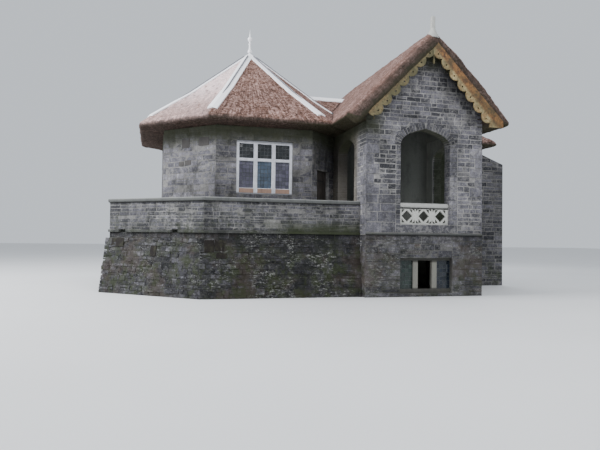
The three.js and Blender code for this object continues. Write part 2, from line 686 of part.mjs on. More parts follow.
function addCellarWindow() {
  const lightLeft = (light) => CELLAR_LEFT + light * (CELLAR_LIGHT + CELLAR_MULLION);
  const lights = [0, 1, 2].map((light) => block(
    lightLeft(light) - (light === 0 ? REACH : 0),
    lightLeft(light) + CELLAR_LIGHT + (light === 2 ? REACH : 0),
    -REACH, REACH, CELLAR_GLASS_BASE, CELLAR_GLASS_TOP));
  const frame = block(CELLAR_LEFT + GAP, CELLAR_RIGHT - GAP,
    CELLAR_FRAME_Y, CELLAR_FRAME_Y + CELLAR_FRAME_DEPTH, CELLAR_SILL + GAP, CELLAR_HEAD - GAP);
  add('basement_window_frame', cut(frame, ...lights), finish.dressed);
  const y = CELLAR_FRAME_Y + CELLAR_FRAME_DEPTH / 2;
  [['left', 0], ['right', 2]].forEach(([name, light]) => {
    add(`basement_window_glass_${name}`,
      block(lightLeft(light) + GAP, lightLeft(light) + CELLAR_LIGHT - GAP, y, y + GLASS_THICK,
        CELLAR_GLASS_BASE + GAP, CELLAR_GLASS_TOP - GAP),
      finish.glass);
  });
}

// Rooms at the back, under one floor

function addBackRooms() {
  const left = PAV_RIGHT + PAV_CANT + GAP;
  const rightInner = PORCH_WIDTH - REAR_WALL;
  const backInner = BACK_ROOM_BACK - REAR_WALL;
  const side = OUTSHOT_BACK + GAP;
  add('back_room_wall', prism([
    [left, side], [left + REAR_WALL, side], [left + REAR_WALL, backInner],
    [rightInner, backInner], [rightInner, side], [PORCH_WIDTH, side],
    [PORCH_WIDTH, BACK_ROOM_BACK], [left, BACK_ROOM_BACK],
  ], 0, WALL_TOP), finish.rubble);
  const start = PORCH_WIDTH + GAP;
  const backStart = rightInner;
  const inner = OUTSHOT_RIGHT - REAR_WALL;
  add('outshot_wall', prism([
    [start, OUTSHOT_FRONT], [OUTSHOT_RIGHT, OUTSHOT_FRONT], [OUTSHOT_RIGHT, OUTSHOT_BACK],
    [backStart, OUTSHOT_BACK], [backStart, OUTSHOT_BACK - REAR_WALL], [inner, OUTSHOT_BACK - REAR_WALL],
    [inner, OUTSHOT_FRONT + REAR_WALL], [start, OUTSHOT_FRONT + REAR_WALL],
  ], 0, WALL_TOP), finish.rubble);
  const step = PORCH_WIDTH - PORCH_WALL - GAP;
  add('back_room_floor', prism([
    [left, PORCH_BACK + GAP], [step, PORCH_BACK + GAP], [step, OUTSHOT_FRONT + REAR_WALL + GAP],
    [inner - GAP, OUTSHOT_FRONT + REAR_WALL + GAP], [inner - GAP, OUTSHOT_BACK - REAR_WALL - GAP],
    [rightInner - GAP, OUTSHOT_BACK - REAR_WALL - GAP], [rightInner - GAP, backInner - GAP],
    [left + REAR_WALL + GAP, backInner - GAP], [left + REAR_WALL + GAP, OUTSHOT_BACK - REAR_WALL],
    [left, OUTSHOT_BACK - REAR_WALL],
  ], FLOOR_BASE, FLOOR_TOP), finish.paving);
  const yard = shapeOf([
    [OUTSHOT_RIGHT + GAP, 0], [YARD_WALL_END, 0], [YARD_WALL_END, YARD_WALL_END_TOP],
    [OUTSHOT_RIGHT + GAP, YARD_WALL_TOP],
  ]);
  add('yard_wall', upright(yard, [0, OUTSHOT_FRONT], 0, REAR_WALL), finish.rubble);
}

// Thatch, with each later roof cut to lie against the earlier ones

function addRoofs() {
  const room = gableHollow(0);
  add('pavilion_thatch', largest(cut(pavilionRoof(0), pavilionHollow(), room)), finish.thatch);
  add('porch_thatch',
    largest(cut(gableRoof(0), gableHollow(-GAP), vergeHollow(), pavilionRoof(GAP))), finish.thatch);
  const shell = cut(crossRoof(0), crossHollow(), pavilionRoof(GAP), gableRoof(GAP));
  const [linkPiece, outshotPiece] = splitAtGable(shell);
  add('link_thatch', linkPiece, finish.thatch);
  add('outshot_thatch', outshotPiece, finish.thatch);
}

// The parts of a solid on the left and on the right of the gable's middle
function splitAtGable(solid) {
  const leftHalf = block(-FAR, PORCH_CENTRE, 0, FAR, 0, FAR);
  const rightHalf = block(PORCH_CENTRE, FAR, 0, FAR, 0, FAR);
  return [leftHalf, rightHalf].map((half) => largest(solid.intersect(half)));
}

// Lead on the hips and ridges: a layer of the roof's own form, kept only along each line
function leadLayer(roof) {
  return cut(roof(LEAD), roof(LEAD_LIFT));
}

function strip(from, to, width) {
  const way = new THREE.Vector2(to[0] - from[0], to[1] - from[1]).normalize();
  const side = new THREE.Vector2(-way.y, way.x).multiplyScalar(width / 2);
  return prism([
    [from[0] - side.x, from[1] - side.y], [to[0] - side.x, to[1] - side.y],
    [to[0] + side.x, to[1] + side.y], [from[0] + side.x, from[1] + side.y],
  ], SOFFIT - REACH, PAV_APEX + REACH);
}

function addLead() {
  const corners = offsetPath(pavilionPath, -PAV_EAVE, true);
  const mask = towardsMiddle(corners, HIP_LEAD_END)
    .map((end) => strip(pavilionCentre, end, HIP_LEAD_WIDTH))
    .reduce((sum, arm) => sum.add(arm));
  const crown = prism(towardsMiddle(corners, APEX_LEAD / (PAV_SIDE + PAV_CANT)),
    SOFFIT, PAV_APEX + REACH);
  const others = [gableRoof(LEAD + GAP), crossRoof(LEAD + GAP)];
  add('pavilion_hip_lead',
    largest(cut(leadLayer(pavilionRoof).intersect(mask.add(crown)), ...others)), finish.lead);
  const middle = (OUTSHOT_FRONT + OUTSHOT_BACK) / 2;
  const crossStrip = strip([pavilionCentre[0], middle], [PORCH_CENTRE, middle], RIDGE_LEAD_WIDTH);
  const around = [pavilionRoof(GAP + LEAD), gableRoof(GAP)];
  add('link_ridge_lead',
    largest(cut(leadLayer(crossRoof).intersect(crossStrip), ...around)), finish.lead);
}

// Finials

function addPavilionFinial() {
  const rings = FINIAL_RINGS.map(([radius, height]) => new THREE.Vector2(radius, height));
  const geometry = new THREE.LatheGeometry(rings, FINIAL_SIDES);
  geometry.rotateX(Math.PI / 2);
  geometry.translate(pavilionCentre[0], pavilionCentre[1], PAV_APEX + LEAD + GAP);
  add('pavilion_finial', toSolid(geometry), finish.lead);
}

// A square post that sits astride the ridge
function addGablePost() {
  const middleY = -GABLE_VERGE + POST_HALF;
  const ring = (half, height) => atLevel([
    [PORCH_CENTRE - half, middleY - half], [PORCH_CENTRE + half, middleY - half],
    [PORCH_CENTRE + half, middleY + half], [PORCH_CENTRE - half, middleY + half],
  ], GABLE_RIDGE + height);
  const post = loft([
    ring(POST_HALF, -POST_HALF), ring(POST_HALF, POST_SHOULDER), ring(POST_NECK_HALF, POST_NECK),
    ring(POST_TIP_HALF, POST_HEIGHT),
  ]);
  add('gable_finial', largest(cut(post, gableRoof(GAP))), finish.cream);
}

// One bargeboard, drawn for the left half of the gable and mirrored for the right
function boardShape(end, mirrored) {
  const upper = (across) => GABLE_RIDGE - GABLE_DROP + BOARD_RAISE - across * GABLE_PITCH;
  const lower = (across) => upper(across) - BOARD_DROP - across * BOARD_SPREAD;
  const place = (across, z) => [PORCH_CENTRE + (mirrored ? across : -across), z];
  const fall = Math.atan(GABLE_PITCH + BOARD_SPREAD);
  const along = new THREE.Vector2(Math.cos(fall), -Math.sin(fall));
  const away = new THREE.Vector2(-Math.sin(fall), -Math.cos(fall));
  const spread = Math.acos(LOBE_SINK / LOBE_RADIUS); // half of the arc that stands out below the edge
  const points = [place(GAP, upper(GAP)), place(GAP, lower(GAP))];
  for (let lobe = 0; lobe < BOARD_LOBES; lobe += 1) {
    const across = (lobe + 0.5) * LOBE_PITCH;
    const centre = new THREE.Vector2(across, lower(across)).addScaledVector(away, -LOBE_SINK);
    for (let step = 0; step <= LOBE_STEPS; step += 1) {
      const turn = spread * (2 * step / LOBE_STEPS - 1);
      const spot = centre.clone()
        .addScaledVector(away, LOBE_RADIUS * Math.cos(turn))
        .addScaledVector(along, LOBE_RADIUS * Math.sin(turn));
      points.push(place(spot.x, spot.y));
    }
  }
  points.push(place(end, Math.max(lower(end), BOARD_FOOT)), place(end, upper(end)));
  return points;
}

function addBargeboards() {
  const face = -GABLE_VERGE - GAP - BOARD_THICK;
  const below = block(-FAR, FAR, face - REACH, REACH, 0, BOARD_FOOT);
  const half = GAP / 2; // the boards meet at the middle of the gable
  const rightOfMiddle = block(PORCH_CENTRE - half, FAR, face - REACH, REACH, 0, FAR);
  const leftOfMiddle = block(-FAR, PORCH_CENTRE + half, face - REACH, REACH, 0, FAR);
  for (const [name, end, mirrored, other] of [
    ['left', LEFT_BOARD_END, false, rightOfMiddle], ['right', RIGHT_BOARD_END, true, leftOfMiddle]]) {
    const board = upright(shapeOf(boardShape(end, mirrored)), [0, face], 0, BOARD_THICK);
    add(`bargeboard_${name}`, largest(cut(board, below, other)), finish.ochre);
  }
}

addTerrace();
addPavilion();
addPorch();
addBackRooms();
addRoofs();
addLead();
addPavilionFinial();
addGablePost();
addBargeboards();

// The origin is under the middle of the whole, on the ground
const bounds = new THREE.Box3().setFromObject(cottage);
cottage.position.set(-(bounds.min.x + bounds.max.x) / 2, -(bounds.min.y + bounds.max.y) / 2, -bounds.min.z);

export default cottage;
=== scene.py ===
import math
import random

import bmesh
import bpy
from mathutils import Matrix, Vector


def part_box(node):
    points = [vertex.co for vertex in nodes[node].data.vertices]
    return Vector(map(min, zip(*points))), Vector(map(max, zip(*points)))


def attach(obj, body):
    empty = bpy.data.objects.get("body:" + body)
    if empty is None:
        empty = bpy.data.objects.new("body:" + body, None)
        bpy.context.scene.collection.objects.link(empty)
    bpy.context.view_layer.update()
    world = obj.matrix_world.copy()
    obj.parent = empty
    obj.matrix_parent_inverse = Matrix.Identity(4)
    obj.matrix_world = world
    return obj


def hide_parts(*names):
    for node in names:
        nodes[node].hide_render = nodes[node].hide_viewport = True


# Thatched garden cottage. Metres, x to the right, y to the back, z up.
# Plan places below are measured from the front left corner of the porch wall.

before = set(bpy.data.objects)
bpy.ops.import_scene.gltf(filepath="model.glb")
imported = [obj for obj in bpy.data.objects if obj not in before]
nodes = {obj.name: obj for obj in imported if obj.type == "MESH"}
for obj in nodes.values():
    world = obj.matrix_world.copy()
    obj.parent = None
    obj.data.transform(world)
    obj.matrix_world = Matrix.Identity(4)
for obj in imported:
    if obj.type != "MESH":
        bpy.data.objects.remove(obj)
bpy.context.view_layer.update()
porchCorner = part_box("porch_gable_wall")[0]


def site(x, y, z=0.0):
    return Vector((porchCorner.x + x, porchCorner.y + y, z))


# Camera, light and floor

view = {
    "eye": (-5.786, -14.649, 1.685),
    "heading": 14.77,  # degrees to the right of straight back
    "rise": 1.283,
    "roll": 0.716,
    "lens": 33.0,
    "sensor": 36.0,
    "far": 400.0,
}
studio = {
    "sky": (0.80, 0.86, 0.93, 1.0),
    "skyPower": 0.89,
    "soft": [  # place, aim, size, power, colour
        ((-21.0, -3.0, 16.0), (-1.0, 0.0, 4.0), 12.0, 7900.0, (0.95, 0.97, 1.0)),
        ((0.0, -19.0, 15.0), (1.0, 0.0, 4.0), 12.0, 1950.0, (0.98, 0.98, 1.0)),
        ((11.0, 8.0, 16.0), (0.0, 0.0, 3.0), 12.0, 1200.0, (0.90, 0.95, 1.0)),
    ],
    "floor": 90.0,
    "floorLevel": -0.002,
}


def addCamera():
    data = bpy.data.cameras.new("camera")
    data.lens = view["lens"]
    data.sensor_width = view["sensor"]
    data.clip_end = view["far"]
    camera = bpy.data.objects.new("camera", data)
    bpy.context.scene.collection.objects.link(camera)
    turn = Matrix.Rotation(math.radians(-view["heading"]), 4, "Z")
    lift = Matrix.Rotation(math.radians(90.0 + view["rise"]), 4, "X")
    lean = Matrix.Rotation(math.radians(view["roll"]), 4, "Z")
    camera.matrix_world = Matrix.Translation(site(*view["eye"])) @ turn @ lift @ lean
    bpy.context.scene.camera = camera


def addStudio():
    world = bpy.data.worlds.new("studio")
    world.use_nodes = True
    sky = world.node_tree.nodes["Background"]
    sky.inputs["Color"].default_value = studio["sky"]
    sky.inputs["Strength"].default_value = studio["skyPower"]
    bpy.context.scene.world = world
    for place, aim, size, power, colour in studio["soft"]:
        data = bpy.data.lights.new("softbox", "AREA")
        data.shape = "DISK"
        data.size = size
        data.energy = power
        data.color = colour
        light = bpy.data.objects.new("softbox", data)
        light.location = place
        light.rotation_euler = (Vector(aim) - Vector(place)).to_track_quat("-Z", "Y").to_euler()
        bpy.context.scene.collection.objects.link(light)


# Materials: a wire is a socket, and sums on wires become Math nodes

class Wire:
    def __init__(self, tree, socket=None):
        self.tree = tree
        self.socket = socket

    def make(self, kind, sockets=None, output=0, stops=None, **settings):
        node = self.tree.nodes.new("ShaderNode" + kind)
        for name, value in settings.items():
            setattr(node, name, value)
        if stops:
            ramp = node.color_ramp.elements
            while len(ramp) < len(stops):
                ramp.new(1.0)
            for element, (place, colour) in zip(ramp, stops):
                element.position = place
                element.color = (*colour, 1.0)
        for name, value in (sockets or {}).items():
            if isinstance(value, Wire):
                self.tree.links.new(value.socket, node.inputs[name])
            else:
                node.inputs[name].default_value = value
        return Wire(self.tree, node.outputs[output])

    def sum(self, operation, first, second):
        return self.make("Math", {0: first, 1: second}, operation=operation)

    def __add__(self, other):
        return self.sum("ADD", self, other)

    def __radd__(self, other):
        return self.sum("ADD", other, self)

    def __sub__(self, other):
        return self.sum("SUBTRACT", self, other)

    def __rsub__(self, other):
        return self.sum("SUBTRACT", other, self)

    def __mul__(self, other):
        return self.sum("MULTIPLY", self, other)

    def __rmul__(self, other):
        return self.sum("MULTIPLY", other, self)


def between(value, low, high):  # 0 below low, 1 above high, smooth on the way
    return value.make("MapRange", {0: value, 1: low, 2: high}, interpolation_type="SMOOTHSTEP")


def noise(where, scale, detail=3.0, rough=0.55):
    sockets = {"Vector": where, "Scale": scale, "Detail": detail, "Roughness": rough}
    return where.make("TexNoise", sockets)


def mixColours(wire, part, first, second, way):
    first, second = [colour if isinstance(colour, Wire) else (*colour, 1.0) for colour in (first, second)]
    return wire.make("Mix", {0: part, 6: first, 7: second}, output=2, data_type="RGBA", blend_type=way)


def blendColours(part, first, second):
    return mixColours(part, part, first, second, "MIX")


def shaded(colour, value, low, high, span=(0.32, 0.68)):  # darker and lighter as a value crosses its span
    grey = value.make("MapRange", {0: value, 1: span[0], 2: span[1], 3: low, 4: high})
    grey = value.make("CombineColor", {0: grey, 1: grey, 2: grey})
    return mixColours(value, 1.0, colour, grey, "MULTIPLY")


def ramped(colour, part, low, high):  # as bright as low where the part is 0, and as high where it is 1
    return shaded(colour, part, low, high, (0.0, 1.0))


def dimmed(colour, part):
    return tuple(channel * part for channel in colour)


def mixed(first, second, part):  # two fixed colours made one
    return tuple(a + (b - a) * part for a, b in zip(first, second))


def newMaterial(name, build, **constants):
    material = bpy.data.materials.new(name)
    material.use_nodes = True
    tree = material.node_tree
    shader = tree.nodes["Principled BSDF"]
    for socket, value in constants.items():
        shader.inputs[socket.replace("_", " ")].default_value = value
    place = Wire(tree).make("TexCoord", output="Object")
    finish = build(place)
    relief = finish.pop("relief", None)
    if relief:
        height, distance, strength = relief
        finish["Normal"] = place.make("Bump", {"Height": height, "Distance": distance, "Strength": strength})
    for socket, value in finish.items():
        tree.links.new(value.socket, shader.inputs[socket])
    return material


def upOf(place):  # how much a surface faces up, from -1 to 1
    normal = place.make("NewGeometry", output="Normal")
    return place.make("SeparateXYZ", {0: normal}, output="Z")


def axisOf(place, axis):
    return place.make("SeparateXYZ", {0: place}, output=axis)


def across(place, first, last):  # 0 at one place along the front and 1 at another
    return between(axisOf(place, "X"), site(first, 0.0).x, site(last, 0.0).x)


def behind(place, first, last):  # 0 at one depth behind the porch front and 1 at another
    return between(axisOf(place, "Y"), site(0.0, first).y, site(0.0, last).y)


masonry = {
    "slate": (0.034, 0.034, 0.041),
    "grey": (0.082, 0.080, 0.090),
    "lavender": (0.141, 0.136, 0.156),
    "lilac": (0.244, 0.235, 0.258),
    "brown": (0.100, 0.077, 0.059),
    "mortar": (0.318, 0.307, 0.296),
    "moss": (0.030, 0.037, 0.016),
    "algae": (0.052, 0.056, 0.030),
    "black": (0.013, 0.014, 0.013),
    "lichen": (0.355, 0.355, 0.333),
    "earth": (0.060, 0.042, 0.030),
}
stoneTones = [(0.0, "slate"), (0.3, "grey"), (0.6, "lavender"), (0.85, "lilac"), (1.0, "brown")]


# What each finish of stone holds. Brightness is beside the colours above, and places are along the front.
#   bright, mortar: of the stones and of the joints
#   smear, smearFrom: how much mortar covers the stones, and between which places it grows
#   rough: how strong the mottling is
#   lichen, specks: pale spots on the stones, and clusters of flat pale specks over all
#   soot, sootFrom: black staining, and the places that it and the specks grow between
#   mossUnder, moss: the level that moss grows under, and how much of it
#   greenOver: the level that algae stain over
#   drift: brightness at one place and at another
#   earth: brown stain in large patches
#   line: levels that the painted shadow under a string course or a coping lies between
#   foot: a string course of stone that belongs to the mortar's solid, and its level
#   growth: moss that spreads up from a ledge
#   recess, flank, rake, corner: single walls that differ, with painted light and painted shade among their
#       stains, as weathering() says
stoneFinishes = {
    "porch": {
        "bright": 0.95, "mortar": 1.10, "smear": 0.45, "smearFrom": (1.5, 3.0), "lichen": 0.55, "soot": 0.30,
        "mossUnder": 1.9, "moss": 0.5, "greenOver": 6.9, "drift": ((0.7, 0.83), (3.0, 0.85)),
        "rake": {"level": 7.36, "reach": 0.34, "sides": (-0.15, 0.35)},
        "flank": {"across": (0.32, 0.40), "behind": (0.50, 1.0), "colour": (0.360, 0.318, 0.260),
                  "dark": (3.0, 4.3), "green": ((0.15, 0.75), (4.70, 5.20)),
                  "far": ((3.44, 3.50), (2.1, 2.4))},
    },
    "plinth": {
        "bright": 0.47, "mortar": 0.34, "smear": 0.45, "rough": 0.60, "lichen": 0.60, "specks": 0.34,
        "soot": 0.65, "mossUnder": 1.4, "moss": 0.5, "greenOver": 9.0, "drift": ((0.0, 0.88), (2.6, 1.06)),
        "earth": 0.40, "line": (1.71, 1.775),
    },
    "pavilion": {
        "bright": 0.92, "mortar": 0.66, "smear": 0.85, "lichen": 0.50, "soot": 0.55,
        "mossUnder": 1.5, "moss": 0.3, "greenOver": 4.75, "drift": ((-5.0, 0.96), (-3.6, 0.96)),
        "recess": {"across": (-1.10, -0.90), "levels": (3.1, 4.2), "light": 1.9, "dark": 0.36},
    },
    "parapet": {
        "bright": 0.80, "mortar": 0.70, "smear": 0.55, "rough": 0.50, "lichen": 0.65, "specks": 0.25,
        "soot": 0.55, "mossUnder": 2.5, "moss": 0.5, "greenOver": 9.0, "drift": ((-5.2, 0.93), (-1.0, 0.88)),
        "line": (2.585, 2.655), "foot": {"level": 1.852, "colour": (0.074, 0.075, 0.071)},
        "growth": {"across": (-2.9, -1.9), "levels": (2.05, 2.40), "part": 0.75},
    },
    "terrace": {
        "bright": 0.72, "mortar": 0.40, "smear": 0.60, "rough": 0.80, "lichen": 1.0, "specks": 0.62,
        "soot": 0.95, "sootFrom": (-5.4, -3.6), "mossUnder": 1.6, "moss": 0.72, "greenOver": 9.0,
        "drift": ((-5.4, 0.54), (-3.6, 0.31)), "earth": 0.38, "line": (1.64, 1.77),
    },
    "rear": {
        "bright": 0.72, "mortar": 0.52, "smear": 0.45, "lichen": 0.40, "soot": 0.4,
        "mossUnder": 1.2, "moss": 0.6, "greenOver": 6.5, "drift": ((0.0, 1.0), (3.7, 1.0)),
        "corner": {"across": (4.3, 5.3), "behind": (3.6, 4.2)},
    },
}
inside = {  # the plastered room of the porch, and how much painted light brightens its right wall
    "left": 0.303,
    "right": 3.437,
    "front": 0.303,
    "back": 3.0,
    "edge": 0.004,
    "colour": (0.150, 0.152, 0.138),
    "rightWall": (3.34, 3.42),
    "bright": 2.6,
}


def weathering(place, colour, values, weather):  # moss, algae and black stains over stone or mortar, with painted light and painted shade
    level = axisOf(place, "Z")
    up = upOf(place)
    (first, dark), (last, light) = values["drift"]
    colour = ramped(colour, across(place, first, last), dark, light)
    # the wall in the recess by the door: painted light lifts it, and painted shade darkens it towards the
    # eave
    if "recess" in values:
        recess = values["recess"]
        part = across(place, *recess["across"])
        colour = ramped(colour, part, 1.0, recess["light"])
        colour = ramped(colour, part * between(level, *recess["levels"]), 1.0, recess["dark"])
    if "flank" in values:  # the side towards the terrace is brown stone lifted with painted light, darker upwards as painted shade, and green at the top
        flank = values["flank"]
        part = (1 - across(place, *flank["across"])) * behind(place, *flank["behind"])
        colour = blendColours(part * 0.65, colour, flank["colour"])
        colour = ramped(colour, part * between(level, *flank["dark"]), 1.0, 0.30)
        places, levels = flank["green"]
        green = (1 - across(place, *places)) * between(level + weather * 0.5, *levels)
        colour = blendColours(green * 0.8, colour, masonry["algae"])
        places, depths = flank["far"]  # moss and painted shade in the corner behind the right arch
        far = across(place, *places) * behind(place, *depths)
        colour = blendColours(far * 0.80, colour, masonry["moss"])
    if "rake" in values:  # under the bargeboards: dark on the right as painted shadow with damp stone, green algae stain on the left
        rake = values["rake"]
        side = axisOf(place, "X") - site(frontArch["middle"], 0.0).x
        reach = rake["reach"] + weather * 0.2
        beneath = rake["level"] - level - side.make("Math", {0: side}, operation="ABSOLUTE")
        rakeBand = between(reach - beneath, 0.0, reach)
        rakeShadow = between(reach * 0.75 - beneath, 0.0, reach * 0.75)
        right = between(side, *rake["sides"])
        colour = blendColours(rakeShadow * right * 0.70, colour, masonry["black"])
        colour = blendColours(rakeBand * (1 - right) * 0.75, colour, masonry["algae"])
    run = noise(place.make("Mapping", {0: place, 3: (2.2, 2.2, 0.8)}), 1.0, 7.0, 0.7)
    soot = between(run, 0.48, 0.62) * values["soot"]
    if "sootFrom" in values:
        soot = soot * (0.25 + across(place, *values["sootFrom"]) * 0.75)
    colour = blendColours(soot * 0.8, colour, masonry["black"])
    if "earth" in values:  # brown stain in large patches
        earth = between(noise(place, 0.75, 6.0, 0.7), 0.50, 0.60) * values["earth"]
        colour = blendColours(earth, colour, masonry["earth"])
    damp = between(values["mossUnder"] - level + weather * 1.7 + up * 0.8, 0.7, 1.7)
    damp = damp * between(noise(place, 3.6, 8.0, 0.72), 0.46, 0.60) * values["moss"]
    colour = blendColours(damp, colour, masonry["moss"])
    high = level + noise(place, 2.2, 5.0, 0.65) * 0.8
    stain = between(high, values["greenOver"], values["greenOver"] + 0.55)
    # downward faces take the algae colour: algae stain with painted shade
    beneath = between(up * -1.0, 0.25, 0.7)
    stain = stain.make("Math", {0: stain * 0.85, 1: beneath * 0.75}, operation="MAXIMUM")
    colour = blendColours(stain, colour, masonry["algae"])
    if "corner" in values:  # the wall behind the porch's right arch is green and dark: moss with painted shade in its corner
        corner = values["corner"]
        part = (1 - across(place, *corner["across"])) * (1 - behind(place, *corner["behind"]))
        colour = blendColours(part * 0.85, colour, masonry["moss"])
    if "specks" in values:  # clusters of pale specks, longer than high
        clusters = between(noise(place, 1.3, 4.0, 0.6), 0.44, 0.60)
        flat = place.make("Mapping", {0: place, 3: (1.0, 1.0, 2.2)})
        specks = between(noise(flat, 9.0, 7.0, 0.82), 0.53, 0.60) * clusters * values["specks"]
        if "sootFrom" in values:
            specks = specks * (0.35 + across(place, *values["sootFrom"]) * 0.65)
        colour = blendColours(specks, colour, masonry["lichen"])
    if "growth" in values:  # moss that spreads up from a ledge
        growth = values["growth"]
        spread = across(place, *growth["across"]) * (1 - between(level + weather * 0.3, *growth["levels"]))
        colour = blendColours(spread * growth["part"], colour, masonry["moss"])
    if "line" in values:  # painted shadow under a string course or a coping
        colour = shaded(colour, level, 1.0, 0.34, values["line"])
    return colour


def mortarColour(values, grain, weather):
    colour = shaded(dimmed(masonry["mortar"], values["mortar"]), grain, 0.72, 1.26)
    return shaded(colour, weather, 0.66, 1.26)


def plastered(place, colour, weather):  # the porch's walls are plastered inside, with painted light on the right wall
    edge = inside["edge"]
    room = across(place, inside["left"], inside["left"] + edge)
    room = room * (1 - across(place, inside["right"] - edge, inside["right"]))
    room = room * behind(place, inside["front"], inside["front"] + edge)
    room = room * (1 - behind(place, inside["back"], inside["back"] + edge))
    plaster = shaded(inside["colour"], weather, 0.7, 1.2)
    # painted light: the right wall's inner face is made brighter
    plaster = ramped(plaster, across(place, *inside["rightWall"]), 1.0, inside["bright"])
    return blendColours(room, colour, plaster)


def stoneMaterial(name):
    values = stoneFinishes[name]

    def build(place):
        tone = place.make("Attribute", output="Fac", attribute_name="tone")
        shift = place.make("CombineXYZ", {0: tone * 7.0, 1: tone * 13.0, 2: tone * 5.0})
        own = place.make("VectorMath", {0: place, 1: shift}, operation="ADD")
        stops = [(spot, dimmed(masonry[tint], values["bright"])) for spot, tint in stoneTones]
        colour = tone.make("ValToRGB", {0: tone}, stops=stops)
        grain = noise(own, 30.0, 6.0, 0.75)
        cloud = noise(own, 9.0, 6.0, 0.7)
        mottle = noise(place, 5.0, 7.0, 0.74)
        weather = noise(place, 0.9, 5.0, 0.6)
        colour = shaded(colour, grain, 0.62, 1.40)
        rough = values.get("rough", 0.34)
        colour = shaded(colour, cloud, 1.0 - rough, 1.0 + rough)
        colour = shaded(colour, mottle, 1.0 - rough, 1.0 + rough)
        colour = shaded(colour, weather, 0.76, 1.22)
        spots = between(noise(own, 24.0, 4.0, 0.6), 0.60, 0.70) * values["lichen"]
        colour = blendColours(spots, colour, masonry["lichen"])
        cover = noise(place, 2.6, 8.0, 0.75) * 0.6 + noise(place, 14.0, 4.0, 0.65) * 0.4
        if "smearFrom" in values:
            cover = cover + across(place, *values["smearFrom"]) * 0.03
        smear = between(cover, 0.50, 0.57) * values["smear"]
        colour = blendColours(smear, colour, mortarColour(values, grain, weather))
        if name == "porch":
            colour = plastered(place, colour, weather)
        colour = weathering(place, colour, values, weather)
        height = grain * 0.5 + cloud
        return {"Base Color": colour, "Roughness": 0.80 + grain * 0.15, "relief": (height, 0.016, 0.9)}
    return newMaterial(name + "_stone", build, Specular_IOR_Level=0.25)


def mortarMaterial(name):
    values = stoneFinishes[name]

    def build(place):
        grain = noise(place, 45.0, 6.0, 0.75)
        mottle = noise(place, 5.0, 7.0, 0.74)
        weather = noise(place, 0.9, 5.0, 0.6)
        colour = shaded(mortarColour(values, grain, weather), mottle, 0.60, 1.30)
        if "foot" in values:  # the string course and what is under it are stone, not mortar
            foot = between(values["foot"]["level"] - axisOf(place, "Z"), 0.0, 0.003)
            colour = blendColours(foot, colour, shaded(values["foot"]["colour"], mottle, 0.6, 1.4))
        if name == "porch":
            colour = plastered(place, colour, weather)
        colour = weathering(place, colour, values, weather)
        return {"Base Color": colour, "Roughness": 0.85 + grain * 0.1, "relief": (grain, 0.012, 0.9)}
    return newMaterial(name + "_mortar", build, Specular_IOR_Level=0.2)


def smoothStoneMaterial(name, colour, green, seed, ends=None, corner=None, litTop=None):
    # dressed stone, plaster and paving: even in colour, with stains; ends: two levels and the brightness
    # outside them, painted shade at window heads and on the string course's underside and darker stone at
    # the window feet; corner: painted shade, dark towards the first of two places; litTop: painted
    # highlight, the brightness of what faces up
    def build(place):
        own = place.make("VectorMath", {0: place, 1: (seed, seed, seed)}, operation="ADD")
        grain = noise(own, 50.0, 6.0, 0.72)
        cloud = noise(own, 3.5, 7.0, 0.66)
        streak = place.make("Mapping", {0: own, 3: (5.0, 5.0, 0.8)})
        run = noise(streak, 1.6, 5.0, 0.66)
        body = shaded(colour, grain, 0.86, 1.12)
        body = shaded(shaded(body, cloud, 0.78, 1.18), run, 0.84, 1.12)
        body = blendColours(between(cloud + run * 0.5, 0.72, 1.0) * green, body, masonry["algae"])
        # painted shade at the heads and on the string course's underside; darker stone at the feet
        if ends:
            level = axisOf(place, "Z")
            middle = between(level, ends[0], ends[0] + 0.05) * between(ends[1] - level, 0.0, 0.06)
            body = ramped(body, middle, ends[2], 1.0)
        # painted shade: darker towards the first place
        if corner:
            body = ramped(body, across(place, *corner), 0.42, 1.0)
        # painted highlight: what faces up is brighter
        if litTop:
            body = shaded(body, upOf(place), 1.0, litTop, (0.15, 0.75))
        height = grain * 0.4 + cloud
        return {"Base Color": body, "Roughness": 0.72 + grain * 0.2, "relief": (height, 0.008, 0.5)}
    return newMaterial(name, build, Specular_IOR_Level=0.3)


reed = {
    "dark": (0.058, 0.032, 0.023),
    "middle": (0.190, 0.104, 0.081),
    "pale": (0.430, 0.284, 0.248),
    "rust": (0.170, 0.085, 0.055),
    "under": (0.058, 0.045, 0.034),
    "grey": (0.095, 0.088, 0.074),
    "skySheen": (0.800, 0.680, 0.695),  # painted sky sheen on the pavilion's slopes that face left
    "rose": (0.200, 0.122, 0.104),  # painted pink light on the porch's slopes that face left
}


